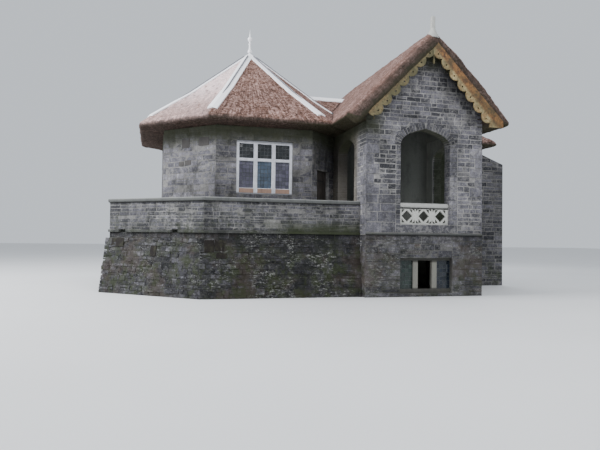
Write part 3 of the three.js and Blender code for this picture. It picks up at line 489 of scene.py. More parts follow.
def thatchMaterial():
    def build(place):
        comb = place.make("Attribute", output="Vector", attribute_name="comb")
        strands = noise(place.make("Mapping", {0: comb, 3: (19.0, 6.0, 1.0)}), 1.0, 6.0, 0.76)
        ends = noise(place, 12.0, 8.0, 0.82)
        tufts = noise(place, 4.6, 6.0, 0.7)
        patches = noise(place, 0.8, 5.0, 0.62)
        mix = ends * 0.52 + strands * 0.32 + tufts * 0.16
        colour = mix.make("ValToRGB", {0: mix}, stops=[
            (0.445, reed["dark"]), (0.495, reed["middle"]), (0.55, reed["pale"])])
        colour = shaded(colour, noise(place, 18.0, 5.0, 0.8), 0.42, 1.62)
        colour = shaded(colour, patches, 0.78, 1.24)
        rust = between(noise(place, 1.1, 5.0, 0.6), 0.5, 0.64)
        colour = blendColours(rust * 0.35, colour, reed["rust"])
        # painted light: slopes that face left are lit pink on the porch and carry a near-white sky sheen on
        # the pavilion, more so higher up
        normal = place.make("NewGeometry", output="Normal")
        left = between(axisOf(normal, "X") * -1.0, 0.12, 0.42)
        west = 1 - across(place, -2.4, -0.8)
        colour = blendColours(left * (1 - west) * 0.45, colour, reed["rose"])
        left = left * west * (0.35 + between(axisOf(place, "Z"), 5.3, 6.8) * 0.65)
        colour = ramped(blendColours(left * 0.42, colour, reed["skySheen"]), left, 1.0, 1.80)
        up = upOf(place)
        # painted shade: faces that don't face up, under the eaves, are darker and browner; the porch
        # thatch's undersides take the moss colour, moss with painted shade
        colour = blendColours(between(0.60 - up, 0.0, 0.5) * 0.30, colour, reed["under"])
        colour = ramped(colour, between(0.60 - up, 0.0, 0.5), 1.0, 0.55)
        colour = blendColours(between(0.05 - up, 0.0, 0.5) * 0.45, colour, reed["under"])
        colour = blendColours(between(up * -1.0, 0.0, 0.4) * (1 - west) * 0.6, colour, masonry["moss"])
        cut = between(axisOf(normal, "Y") * -1.0, 0.62, 1.0)
        colour = ramped(blendColours(cut * 0.25, colour, reed["grey"]), cut, 1.0, 0.85)
        height = strands * 0.6 + ends * 0.7 + tufts
        return {"Base Color": colour, "Roughness": 0.86 + ends * 0.1, "relief": (height, 0.05, 1.0)}
    return newMaterial("weathered_reed", build, Specular_IOR_Level=0.15)


def leadMaterial(name, colour, dirt):
    def build(place):
        grain = noise(place, 45.0, 5.0, 0.6)
        cloud = noise(place, 2.6, 6.0, 0.65)
        body = blendColours(between(cloud, 0.45, 0.72) * dirt, colour, (0.30, 0.30, 0.32))
        body = shaded(body, grain, 0.93, 1.06)
        height = grain * 0.3 + cloud
        return {"Base Color": body, "Roughness": 0.38 + cloud * 0.3, "relief": (height, 0.01, 0.35)}
    return newMaterial(name, build, Metallic=0.05)


def paintMaterial(name, colour, worn, wornPart, shadeAbove):
    def build(place):
        flake = noise(place, 26.0, 6.0, 0.7)
        cloud = noise(place, 4.0, 5.0, 0.6)
        part = between(flake * 0.6 + cloud * 0.4, 0.60 - wornPart * 0.12, 0.66)
        body = blendColours(part * 0.8, colour, worn)
        body = shaded(body, cloud, 0.84, 1.10)
        # painted shadow under the rail: darker above the given level
        if shadeAbove:
            body = shaded(body, axisOf(place, "Z"), 1.0, 0.16, (shadeAbove, shadeAbove + 0.006))
        height = flake * 0.4 - part * 0.5
        return {"Base Color": body, "Roughness": 0.48 + flake * 0.3, "relief": (height, 0.003, 0.6)}
    return newMaterial(name, build)


boardTint = {
    "cream": (0.315, 0.252, 0.125),
    # the left board's olive cream, dimmed partly as painted shade under the thatch roll
    "dimCream": (0.136, 0.113, 0.053),
    "ochre": (0.210, 0.092, 0.026),
    "rust": (0.060, 0.026, 0.012),
    "green": (0.066, 0.062, 0.026),
    "ridge": 7.74,  # the level that the gable's slopes meet at
    "fall": 1.05,  # how far the boards run down for each metre along
    "edge": (0.50, 0.66),  # from the slope down to where the cream begins
}


def boardMaterial(name, cream, ochrePart, greenPart):
    middle = site(frontArch["middle"], 0.0).x

    def build(place):
        side = place.make("Math", {0: axisOf(place, "X") - middle}, operation="ABSOLUTE")
        depth = boardTint["ridge"] - axisOf(place, "Z") - side * boardTint["fall"]
        flake = noise(place, 18.0, 6.0, 0.7)
        cloud = noise(place, 3.0, 5.0, 0.6)
        lobes = between(depth + flake * 0.08, *boardTint["edge"])
        patches = noise(place, 5.0, 6.0, 0.7)
        upper = mixed(boardTint[cream], boardTint["ochre"], ochrePart)
        upper = blendColours(between(patches, 0.45, 0.57) * 0.85, upper, boardTint["rust"])
        worn = between(patches, 0.44, 0.60) * ochrePart * 0.6
        lobe = blendColours(worn, boardTint[cream], boardTint["ochre"])
        body = blendColours(lobes, upper, lobe)
        body = shaded(body, flake, 0.48, 1.52)
        body = blendColours(between(cloud, 0.42, 0.66) * greenPart, body, boardTint["green"])
        return {"Base Color": body, "Roughness": 0.62 + flake * 0.25, "relief": (flake, 0.006, 0.6)}
    return newMaterial(name, build)


def glassMaterial(name, colour, streak):
    def build(place):
        tone = place.make("Attribute", output="Fac", attribute_name="tone")
        wave = noise(place, 9.0, 3.0, 0.5)
        grime = between(noise(place, 3.0, 6.0, 0.7), 0.42, 0.72)
        body = ramped(blendColours(grime * 0.5, colour, streak), tone, 0.65, 1.4)
        return {"Base Color": body, "Roughness": 0.10 + grime * 0.25, "relief": (wave, 0.004, 0.25)}
    return newMaterial(name, build)


def oakMaterial():
    def build(place):
        grainPlace = place.make("Mapping", {0: place, 3: (40.0, 40.0, 3.0)})
        grain = noise(grainPlace, 1.0, 6.0, 0.65)
        cloud = noise(place, 3.0, 4.0, 0.6)
        body = grain.make("ValToRGB", {0: grain}, stops=[
            (0.35, (0.016, 0.013, 0.011)), (0.55, (0.046, 0.038, 0.032)), (0.75, (0.110, 0.092, 0.078))])
        body = shaded(body, cloud, 0.8, 1.2)
        return {"Base Color": body, "Roughness": 0.6 + grain * 0.3, "relief": (grain, 0.004, 0.7)}
    return newMaterial("oak_boards", build)


def ironMaterial():
    def build(place):
        pits = noise(place, 60.0, 5.0, 0.7)
        body = blendColours(between(pits, 0.5, 0.7), (0.030, 0.030, 0.032), (0.085, 0.045, 0.028))
        return {"Base Color": body, "Roughness": 0.45 + pits * 0.35, "relief": (pits, 0.002, 0.6)}
    return newMaterial("black_iron", build, Metallic=0.6)


def floorMaterial():
    def build(place):
        cloud = noise(place, 0.3, 2.0, 0.5)
        return {"Base Color": shaded((0.72, 0.72, 0.72), cloud, 0.985, 1.015)}
    return newMaterial("pale_floor", build, Roughness=0.9)


smoothStones = {  # name, colour, algae, seed, and what else smoothStoneMaterial takes
    # ends: painted shade at heads and under the string course, with darker feet; corner: painted shade;
    # litTop: painted highlight
    "dressed": ("dressed_stone", (0.72, 0.73, 0.78), 0.12, 1.0, {"ends": (3.01, 4.60, 0.40)}),
    "mullion": ("mullion_stone", (0.200, 0.196, 0.170), 0.3, 7.0, {"ends": (0.22, 1.03, 0.30)}),
    "darkStone": ("dark_stone", (0.080, 0.074, 0.070), 0.15, 9.0, {}),
    "brownStone": ("brown_stone", (0.011, 0.008, 0.006), 0.5, 11.0, {}),
    "coping": ("coping_stone", (0.112, 0.114, 0.110), 0.5, 2.0, {"litTop": 2.3}),
    "sill": ("sill_stone", (0.38, 0.25, 0.19), 0.15, 3.0, {}),
    "band": ("band_stone", (0.090, 0.092, 0.088), 0.7, 4.0, {"ends": (1.79, 1.90, 0.30)}),
    "plaster": ("grey_plaster", (0.245, 0.254, 0.230), 0.3, 5.0, {"corner": (1.9, 3.5)}),
    "paving": ("paving_stone", (0.180, 0.172, 0.156), 0.6, 6.0, {}),
}
leads = {  # name, colour, dirt
    # near white: pale lead patina, lifted further as a painted sheen
    "lead": ("pale_lead", (0.98, 0.97, 0.99), 0.08),
    # for the hip rolls: dark as the painted shadow line along each hip
    "darkLead": ("dark_lead", (0.15, 0.15, 0.17), 0.3),
    "came": ("came_lead", (0.050, 0.056, 0.058), 0.3),
    "darkCame": ("dark_came_lead", (0.030, 0.038, 0.036), 0.3),
}
paints = {  # name, colour, worn colour, how much is worn, the level above which painted shadow darkens it
    "white": ("white_paint", (0.41, 0.41, 0.385), (0.24, 0.22, 0.18), 0.35, None),
    "panelWhite": ("panel_paint", (0.50, 0.50, 0.46), (0.24, 0.22, 0.18), 0.45, 2.553),
}
glasses = {  # name, colour, colour of grime
    "greyGlass": ("grey_glass", (0.012, 0.015, 0.017), (0.034, 0.038, 0.038)),
    "lilacGlass": ("lilac_glass", (0.080, 0.075, 0.110), (0.120, 0.116, 0.150)),
    "blueGlass": ("blue_glass", (0.062, 0.090, 0.130), (0.110, 0.135, 0.170)),
    "darkGlass": ("dark_glass", (0.008, 0.012, 0.020), (0.024, 0.032, 0.040)),
    "greenGlass": ("green_glass", (0.010, 0.020, 0.016), (0.022, 0.034, 0.026)),
}


def makeMaterials():
    made = {name: stoneMaterial(name) for name in stoneFinishes}
    made.update({name + "Mortar": mortarMaterial(name) for name in stoneFinishes})
    made.update({key: smoothStoneMaterial(*row[:4], **row[4]) for key, row in smoothStones.items()})
    for make, rows in ((leadMaterial, leads), (paintMaterial, paints), (glassMaterial, glasses)):
        made.update({key: make(*row) for key, row in rows.items()})
    return {
        **made,
        "reed": thatchMaterial(),
        "boardLeft": boardMaterial("left_board_paint", "dimCream", 0.22, 0.80),
        "boardRight": boardMaterial("right_board_paint", "cream", 0.92, 0.50),
        "oak": oakMaterial(),
        "iron": ironMaterial(),
        "floor": floorMaterial(),
    }


# Modelling steps that the pieces share

def pickOnly(*pieces):
    bpy.ops.object.select_all(action="DESELECT")
    for piece in pieces:
        piece.select_set(True)
    bpy.context.view_layer.objects.active = pieces[0]


def added(name, add, **settings):  # a new mesh, with nothing else selected
    bpy.ops.object.select_all(action="DESELECT")
    add(**settings)
    piece = bpy.context.object
    piece.name = name
    piece.data.name = name
    return piece


def edit(piece, *steps):  # each step runs in edit mode with all of the piece selected
    pickOnly(piece)
    bpy.ops.object.mode_set(mode="EDIT")
    for step in steps:
        bpy.ops.mesh.select_all(action="SELECT")
        step()
    bpy.ops.object.mode_set(mode="OBJECT")


def useModifier(piece, kind, **settings):
    pickOnly(piece)
    modifier = piece.modifiers.new(kind.lower(), kind)
    for name, value in settings.items():
        setattr(modifier, name, value)
    bpy.ops.object.modifier_apply(modifier=modifier.name)


def easeEdges(piece, width, segments=1, angle=30.0):
    useModifier(piece, "BEVEL", width=width, segments=segments, limit_method="ANGLE",
                angle_limit=math.radians(angle), use_clamp_overlap=True)


def cutWith(piece, cutter):
    useModifier(piece, "BOOLEAN", object=cutter, operation="DIFFERENCE", solver="EXACT")
    bpy.data.objects.remove(cutter)


def looseFaces(name, faces):
    # a row of four-cornered faces, split apart and each moved to its own corners
    piece = added(name, bpy.ops.mesh.primitive_grid_add, x_subdivisions=len(faces), y_subdivisions=1,
                  size=1.0)
    edit(piece, lambda: bpy.ops.mesh.edge_split(type="EDGE"))
    for polygon, corners in zip(piece.data.polygons, faces):
        for vertex, corner in zip(polygon.vertices, corners):
            piece.data.vertices[vertex].co = corner
    return piece


def thicken(piece, depth):  # loose faces become closed slabs, depth along z
    edit(piece,
         lambda: bpy.ops.mesh.extrude_region_move(TRANSFORM_OT_translate={"value": (0.0, 0.0, depth)}),
         lambda: bpy.ops.mesh.normals_make_consistent(inside=False))
    return piece


def slabs(name, faces, depth):
    return thicken(looseFaces(name, faces), depth)


def outlineBlock(name, outline, low, high):  # a closed block over one flat outline of (x, y) points
    piece = added(name, bpy.ops.mesh.primitive_circle_add, vertices=len(outline), fill_type="NGON")
    for vertex, (x, y) in zip(piece.data.vertices, outline):
        vertex.co = (x, y, low)
    return thicken(piece, high - low)


def rectangle(left, right, low, high, depth=0.0):
    return [(left, low, depth), (right, low, depth), (right, high, depth), (left, high, depth)]


def settle(piece, matrix=None):  # moves the place of an object into its mesh
    if matrix:
        piece.matrix_world = matrix @ piece.matrix_world
    pickOnly(piece)
    bpy.ops.object.transform_apply(location=True, rotation=True, scale=True)
    return piece


def joined(name, pieces):
    pickOnly(*pieces)
    if len(pieces) > 1:
        bpy.ops.object.join()
    piece = bpy.context.view_layer.objects.active
    piece.name = name
    piece.data.name = name
    return piece


def finishPiece(piece, slot, *finishes, smooth=35.0, replaces=()):
    piece.data.materials.clear()
    for finish in finishes:
        piece.data.materials.append(materials[finish])
    pickOnly(piece)
    bpy.ops.object.shade_smooth_by_angle(angle=math.radians(smooth))
    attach(piece, "root")
    if replaces:
        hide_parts(*replaces)
    return piece


def copyOfNode(node, name):  # a free copy of a CAD solid, with its flat faces whole
    pickOnly(nodes[node])
    bpy.ops.object.duplicate()
    piece = bpy.context.object
    piece.name = name
    piece.data.name = name
    world = piece.matrix_world.copy()
    piece.parent = None
    piece.matrix_world = world
    for key in list(piece.keys()):
        del piece[key]
    edit(piece,
         lambda: bpy.ops.mesh.remove_doubles(threshold=0.0001),
         lambda: bpy.ops.mesh.dissolve_limited(angle_limit=math.radians(0.5)))
    return piece


def islandsOf(piece):  # lists of vertex numbers, one for each loose part, in order
    mesh = piece.data
    links = [[] for _ in mesh.vertices]
    for edge in mesh.edges:
        first, second = edge.vertices
        links[first].append(second)
        links[second].append(first)
    seen = [False] * len(links)
    islands = []
    for start in range(len(links)):
        if seen[start]:
            continue
        seen[start] = True
        island = [start]
        for vertex in island:
            for other in links[vertex]:
                if not seen[other]:
                    seen[other] = True
                    island.append(other)
        islands.append(island)
    return islands


def writeTones(piece, low, high, dice, smallest=0.0):
    # one tone for each loose part, and parts too thin to be a stone are taken away
    tones = piece.data.attributes.new("tone", "FLOAT", "POINT")
    thin = []
    for island in islandsOf(piece):
        value = dice.uniform(low, high)
        places = [piece.data.vertices[i].co for i in island]
        spans = [max(p[axis] for p in places) - min(p[axis] for p in places) for axis in (0, 1)]
        if min(spans) < smallest:
            thin.extend(island)
        for i in island:
            tones.data[i].value = value
    if thin:
        shape = bmesh.new()
        shape.from_mesh(piece.data)
        shape.verts.ensure_lookup_table()
        bmesh.ops.delete(shape, geom=[shape.verts[i] for i in thin], context="VERTS")
        shape.to_mesh(piece.data)
        shape.free()


# Stone walls. Each zone of a wall is laid in courses on the flat, then stood up against the wall.

# course, length: the least and the greatest; joint: its width; proud: how far stones stand out of the wall;
# tone: the range of their colours; split: how many are two flat stones; wobble: how far corners stray
kindColumns = ("course", "length", "joint", "proud", "tone", "split", "wobble")
kindRows = {
    "courses": ((0.115, 0.165), (0.18, 0.46), 0.024, (0.001, 0.007), (0.02, 0.66), 0.16, 0.006),
    "thin": ((0.100, 0.145), (0.16, 0.50), 0.021, (0.001, 0.007), (0.08, 0.74), 0.05, 0.006),
    "blocks": ((0.26, 0.33), (0.32, 0.66), 0.014, (0.002, 0.006), (0.36, 0.70), 0.0, 0.003),
    "lintel": ((0.9, 1.0), (4.0, 5.0), 0.012, (0.004, 0.006), (0.34, 0.40), 0.0, 0.002),
    "band": ((0.9, 1.0), (0.30, 0.80), 0.008, (0.000, 0.006), (0.10, 0.60), 0.0, 0.003),
    "pavilion": ((0.12, 0.20), (0.18, 0.56), 0.018, (-0.001, 0.006), (0.30, 0.84), 0.14, 0.008),
    "parapet": ((0.080, 0.135), (0.16, 0.50), 0.016, (0.000, 0.008), (0.14, 0.68), 0.08, 0.007),
    "rubble": ((0.09, 0.17), (0.12, 0.46), 0.016, (0.000, 0.020), (0.02, 0.84), 0.25, 0.016),
    "plinth": ((0.12, 0.23), (0.16, 0.52), 0.018, (0.000, 0.014), (0.20, 0.98), 0.22, 0.010),
}
stoneKinds = {name: dict(zip(kindColumns, row)) for name, row in kindRows.items()}
quoinKind = {
    "height": 0.29, "long": 0.42, "short": 0.25, "tone": (0.60, 0.78), "proud": 0.010, "joint": 0.009,
}
stoneDepth = 0.045  # how thick a facing stone is, most of it inside the wall
stoneEase = 0.007
smallestStone = 0.012  # what is left thinner than this beside a cut is taken away
lowestSplit = 0.12  # courses lower than this are never split
splitAt = (0.42, 0.58)
quoinMeets = 0.02  # a course and a quoin that share less height than this don't meet
wobbleParts = (1.0, 1.0, 0.4)  # how much of the wobble is along the wall, up it and out of it
cutReach = 0.3  # how far a cutter stands out of the wall on both sides
roughStone = {  # for kinds whose wobble is over this one
    "over": 0.008,
    "shift": (0.5, 0.5, 0.35),  # of the corners between, along x, y and z, as parts of the wobble
    "ease": 1.5,
}


def zoneOf(left, right, low, high, kind, **more):  # a part of a wall, measured along it and up
    return {"span": (left, right), "levels": (low, high), "kind": kind, **more}


def wallOf(name, start, end, zones, **more):  # start and end in plan, with the outside on the right
    return {"name": name, "start": start, "end": end, "zones": zones, **more}


def split(low, high, shortest, longest, dice):  # lengths that fill a run exactly
    parts = []
    while sum(parts) < high - low:
        parts.append(dice.uniform(shortest, longest))
    if len(parts) > 1 and sum(parts) - (high - low) > parts[-1] * 0.6:
        parts.pop()
    scale = (high - low) / sum(parts)
    places = [low]
    for part in parts:
        places.append(places[-1] + part * scale)
    return list(zip(places, places[1:]))


def quoinRuns(zone):  # heights and widths of the corner stones at the two ends of a zone
    low, high = zone["levels"]
    rows = max(1, round((high - low) / quoinKind["height"]))
    step = (high - low) / rows
    runs = {}
    widths = (quoinKind["long"], quoinKind["short"])
    for side, first in zone.get("quoins", {}).items():
        runs[side] = [(low + row * step, low + (row + 1) * step, widths[(row + first) % 2])
                      for row in range(rows)]
    return runs


def stoneFace(left, right, low, high, kind, dice, proud=None, joint=None):
    half = (joint or kind["joint"]) / 2.0
    rise = proud if proud is not None else dice.uniform(*kind["proud"])
    wobble = kind["wobble"]
    corners = rectangle(left + half, right - half, low + half, high - half, rise - stoneDepth)
    return [[value + dice.uniform(-wobble, wobble) * part for value, part in zip(corner, wobbleParts)]
            for corner in corners]


def zoneFaces(zone, dice):
    kind = stoneKinds[zone["kind"]]
    left, right = zone["span"]
    low, high = zone["levels"]
    runs = quoinRuns(zone)
    corners = []
    for side, run in runs.items():
        for base, top, width in run:
            start, end = (left, left + width) if side == "left" else (right - width, right)
            corners.append(stoneFace(start, end, base, top, kind, dice,
                                     quoinKind["proud"], quoinKind["joint"]))
    courseRandom = random.Random(f"{zone['kind']} {low:.2f} {high:.2f}")
    faces = []
    for base, top in split(low, high, *kind["course"], courseRandom):
        start, end = left, right
        for side, run in runs.items():
            widths = [width for quoinLow, quoinHigh, width in run
                      if quoinLow < top - quoinMeets and quoinHigh > base + quoinMeets]
            if side == "left":
                start = left + max(widths)
            else:
                end = right - max(widths)
        for first, last in split(start, end, *kind["length"], dice):
            if dice.random() < kind["split"] and top - base > lowestSplit:
                middle = base + (top - base) * dice.uniform(*splitAt)
                faces.append(stoneFace(first, last, base, middle, kind, dice))
                faces.append(stoneFace(first, last, middle, top, kind, dice))
            else:
                faces.append(stoneFace(first, last, base, top, kind, dice))
    return faces, corners


def standUp(start, end, lean=0.0):
    # turns the flat layout to a wall from start to end, with the outside on the right of that way
    first = site(*start)
    way = (site(*end) - first).normalized()
    out = Vector((way.y, -way.x, 0.0))
    up = (Vector((0.0, 0.0, 1.0)) - out * lean).normalized()
    out = way.cross(up)
    matrix = Matrix((way, up, out)).transposed().to_4x4()
    matrix.translation = first
    return matrix


def sunk(matrix, depth):  # the same place, moved into the wall
    return matrix @ Matrix.Translation((0.0, 0.0, -depth))


def layZone(wall, zone, number):
    dice = random.Random(f"{wall['name']} {number}")
    faces, corners = zoneFaces(zone, dice)
    kind = stoneKinds[zone["kind"]]
    rough = kind["wobble"] > roughStone["over"]
    pieces = []
    for label, group, tone in (("field", faces, zone.get("tone", kind["tone"])),
                               ("corner", corners, quoinKind["tone"])):
        if not group:
            continue
        piece = looseFaces(f"{wall['name']}_{label}_{number}", group)
        if rough:
            edit(piece, lambda: bpy.ops.mesh.subdivide(number_cuts=1, fractal=0.0))
            for vertex in piece.data.vertices:
                for axis, part in enumerate(roughStone["shift"]):
                    vertex.co[axis] += dice.uniform(-1.0, 1.0) * kind["wobble"] * part
        thicken(piece, stoneDepth)
        for place, way in zone.get("trims", ()):
            edit(piece, lambda: bpy.ops.mesh.bisect(
                plane_co=(*place, 0.0), plane_no=(*way, 0.0), use_fill=True, clear_outer=True))
        for outline in zone.get("holes", ()):
            cutWith(piece, outlineBlock("hole", outline, -cutReach, cutReach))
        easeEdges(piece, stoneEase * (roughStone["ease"] if rough else 1.0))
        writeTones(piece, *tone, dice, smallest=smallestStone)
        pieces.append(piece)
    return pieces


def layWall(wall):
    pieces = []
    for number, zone in enumerate(wall["zones"]):
        pieces.extend(layZone(wall, zone, number))
    return settle(joined(wall["name"], pieces), standUp(wall["start"], wall["end"], wall.get("lean", 0.0)))


darkBlocks = {  # single stones of two walls: left, right, low and high of each
    "pavilion": {
        "sunk": 0.03, "depth": 0.042, "rough": 0.6, "ease": 0.006,
        "spots": [(0.77, 1.10, 4.42, 4.71), (1.46, 1.86, 4.45, 4.70), (0.66, 0.86, 3.86, 4.00),
                  (0.90, 1.16, 3.88, 4.03)],
    },
    "terraceFront": {
        "sunk": 0.03, "depth": 0.052, "rough": 0.8, "ease": 0.008,
        "spots": [(0.02, 0.28, 1.27, 1.60), (0.30, 0.56, 1.30, 1.60), (0.34, 0.62, 1.10, 1.24)],
    },
    "terraceCant": {
        "sunk": 0.03, "depth": 0.052, "rough": 0.8, "ease": 0.008,
        "spots": [(0.12, 0.60, 1.36, 1.62), (1.62, 1.84, 1.12, 1.42)],
    },
}


def darkSlabs(name, kind, seed):
    values = darkBlocks[kind]
    piece = slabs(name, [rectangle(*spot, -values["sunk"]) for spot in values["spots"]], values["depth"])
    edit(piece, lambda: bpy.ops.mesh.subdivide(number_cuts=2, fractal=values["rough"], seed=seed))
    easeEdges(piece, values["ease"])
    return piece


arch = {
    "haunch": 0.62,  # how high the curve's first handle is, as a part of the rise
    "crownHalf": 0.5,  # where its second handle is, as parts of the half width and of the rise
    "crown": 0.8,
    "inner": 0.004,  # how far stones stand out of the wall into the opening
    "joint": 0.008,
    "deep": (0.86, 1.08),  # how deep single stones of a ring are beside the others
    "ringProud": 0.012,
    "jambProud": 0.008,
    "jambEnd": 0.005,
    "cut": 0.97,  # how much of the ring's depth is cut out of the courses around it
    "cutFoot": 0.3,  # how far that cut runs down past the springing
}


def archLine(middle, half, spring, rise, steps):
    # points from the left springing over the top to the right one, with their outward directions
    def point(t):
        mix = (1.0 - t) ** 3, 3.0 * (1.0 - t) ** 2 * t, 3.0 * (1.0 - t) * t ** 2, t ** 3
        outward = mix[0] + mix[1] + mix[2] * arch["crownHalf"]
        high = mix[1] * arch["haunch"] + mix[2] * arch["crown"] + mix[3]
        return Vector((-half * outward, rise * high))
    left = []
    for i in range(steps + 1):
        t = i / steps
        here = point(t)
        ahead = point(min(1.0, t + 0.01)) - point(max(0.0, t - 0.01))
        out = Vector((-ahead.y, ahead.x)).normalized()
        left.append((Vector((middle, spring)) + here, out))
    right = [(Vector((2.0 * middle - spot.x, spot.y)), Vector((-out.x, out.y)))
             for spot, out in reversed(left)]
    return left, right


def archRing(wall, opening):
    # wedge-shaped stones over an arch and long stones down its jambs, each as deep as the wall
    middle, half, spring, rise = opening["middle"], opening["half"], opening["spring"], opening["rise"]
    depth, inner = opening["ring"], arch["inner"]
    dice = random.Random(wall["name"] + " ring")
    faces = []
    back = -opening["wall"]
    for side in archLine(middle, half, spring, rise, opening["stones"]):
        for (first, firstOut), (second, secondOut) in zip(side, side[1:]):
            along = (second - first).normalized() * arch["joint"]
            deep = depth * dice.uniform(*arch["deep"])
            firstTop = first + firstOut * deep + along
            secondTop = second + secondOut * deep - along
            corners = (first - firstOut * inner + along, second - secondOut * inner - along,
                       secondTop, firstTop)
            faces.append([(x, y, back) for x, y in reversed(corners)])
    ring = slabs(wall["name"] + "_ring", faces, opening["wall"] + arch["ringProud"])
    easeEdges(ring, stoneEase)
    writeTones(ring, *opening["tone"], dice)
    pieces = [ring]
    for sign, side in ((-1.0, "left"), (1.0, "right")):
        jamb = opening["jambs"][side]
        rows = max(1, round((spring - opening["sill"]) / jamb["height"]))
        step = (spring - opening["sill"]) / rows
        stones = []
        for row in range(rows):
            reach = jamb["width"] * dice.uniform(*jamb.get("vary", (1.0, 1.0))) - arch["jambEnd"]
            low = opening["sill"] + row * step
            edges = sorted((middle + sign * (half - inner), middle + sign * (half + reach)))
            stones.append(rectangle(*edges, low + jamb["joint"], low + step - jamb["joint"], back))
        piece = slabs(f"{wall['name']}_jamb_{side}", stones, opening["wall"] + arch["jambProud"])
        easeEdges(piece, stoneEase)
        writeTones(piece, *jamb["tone"], dice)
        pieces.append(piece)
    return settle(joined(wall["name"] + "_arch", pieces), standUp(wall["start"], wall["end"]))


def ringOutline(opening):  # the form that an arch and its ring take out of the courses around them
    left, right = archLine(opening["middle"], opening["half"], opening["spring"], opening["rise"], 8)
    reach = opening["ring"] * arch["cut"]
    foot = opening["spring"] - arch["cutFoot"]
    line = [tuple(spot + out * reach) for spot, out in left + right[1:]]
    return [(line[0][0], foot), *line, (line[-1][0], foot)]


wide = 3.74  # porch front
overlap = 0.01  # how far stones run past the corner of a wall
floorLevel = 1.79  # of terrace, pavilion and porch
plainJamb = {"height": 0.145, "width": 0.14, "joint": 0.008, "tone": (0.02, 0.55)}
paleJamb = {"height": 0.145, "width": 0.25, "joint": 0.003, "tone": (0.40, 0.66)}
darkJamb = {"height": 0.29, "width": 0.24, "joint": 0.004, "tone": (0.10, 0.45)}
brownJamb = {"height": 0.17, "width": 0.24, "joint": 0.008, "tone": (0.62, 1.0), "vary": (0.8, 1.2)}
frontArch = {
    "middle": 1.87, "half": 0.797, "sill": 2.1, "spring": 4.4, "rise": 0.52, "ring": 0.20, "stones": 12,
    "wall": 0.318, "jambs": {"left": plainJamb, "right": paleJamb}, "tone": (0.08, 0.62),
}
sideArch = {
    "middle": 1.7, "half": 0.76, "sill": floorLevel, "spring": 4.36, "rise": 0.42, "ring": 0.20,
    "stones": 10, "wall": 0.318, "jambs": {"left": darkJamb, "right": darkJamb}, "tone": (0.10, 0.45),
}
cellar = {"left": 1.073, "right": 2.745, "sill": 0.10, "head": 1.12, "mullion": 0.16, "wallTop": 1.78,
          "light": (0.22, 1.05), "proud": 0.03}
gable = {"underside": 7.36, "wallTop": 5.05, "floor": 1.852, "blocksTop": 2.95, "coursesTop": 7.5,
         "gap": 0.02}
window = {
    "middle": -2.55, "half": 0.88, "base": 2.99, "top": 4.64, "jamb": 0.09, "mullion": 0.12,
    "upper": (4.095, 4.54), "lower": (3.18, 4.005), "sill": (3.03, 3.165), "sillThick": 0.012,
    "sillEase": 0.004, "sillFace": 0.045,
}
door = {"middle": 0.735, "half": 0.41, "top": 3.84, "wallEnd": 1.47}
pavilion = {  # corners of its walls in plan, and the point under its finial
    "left": (-4.06, 1.94), "right": (-1.04, 1.94), "porch": (0.0, 2.98), "west": (-5.56, 3.44),
    "middle": (-2.55, 5.14), "span": 3.02, "cant": math.hypot(1.5, 1.5), "overlap": 0.005,
}
yard = {"front": 3.2, "back": 3.52, "start": 5.61, "end": 6.7, "overlap": 0.008, "coursesTop": 4.95}


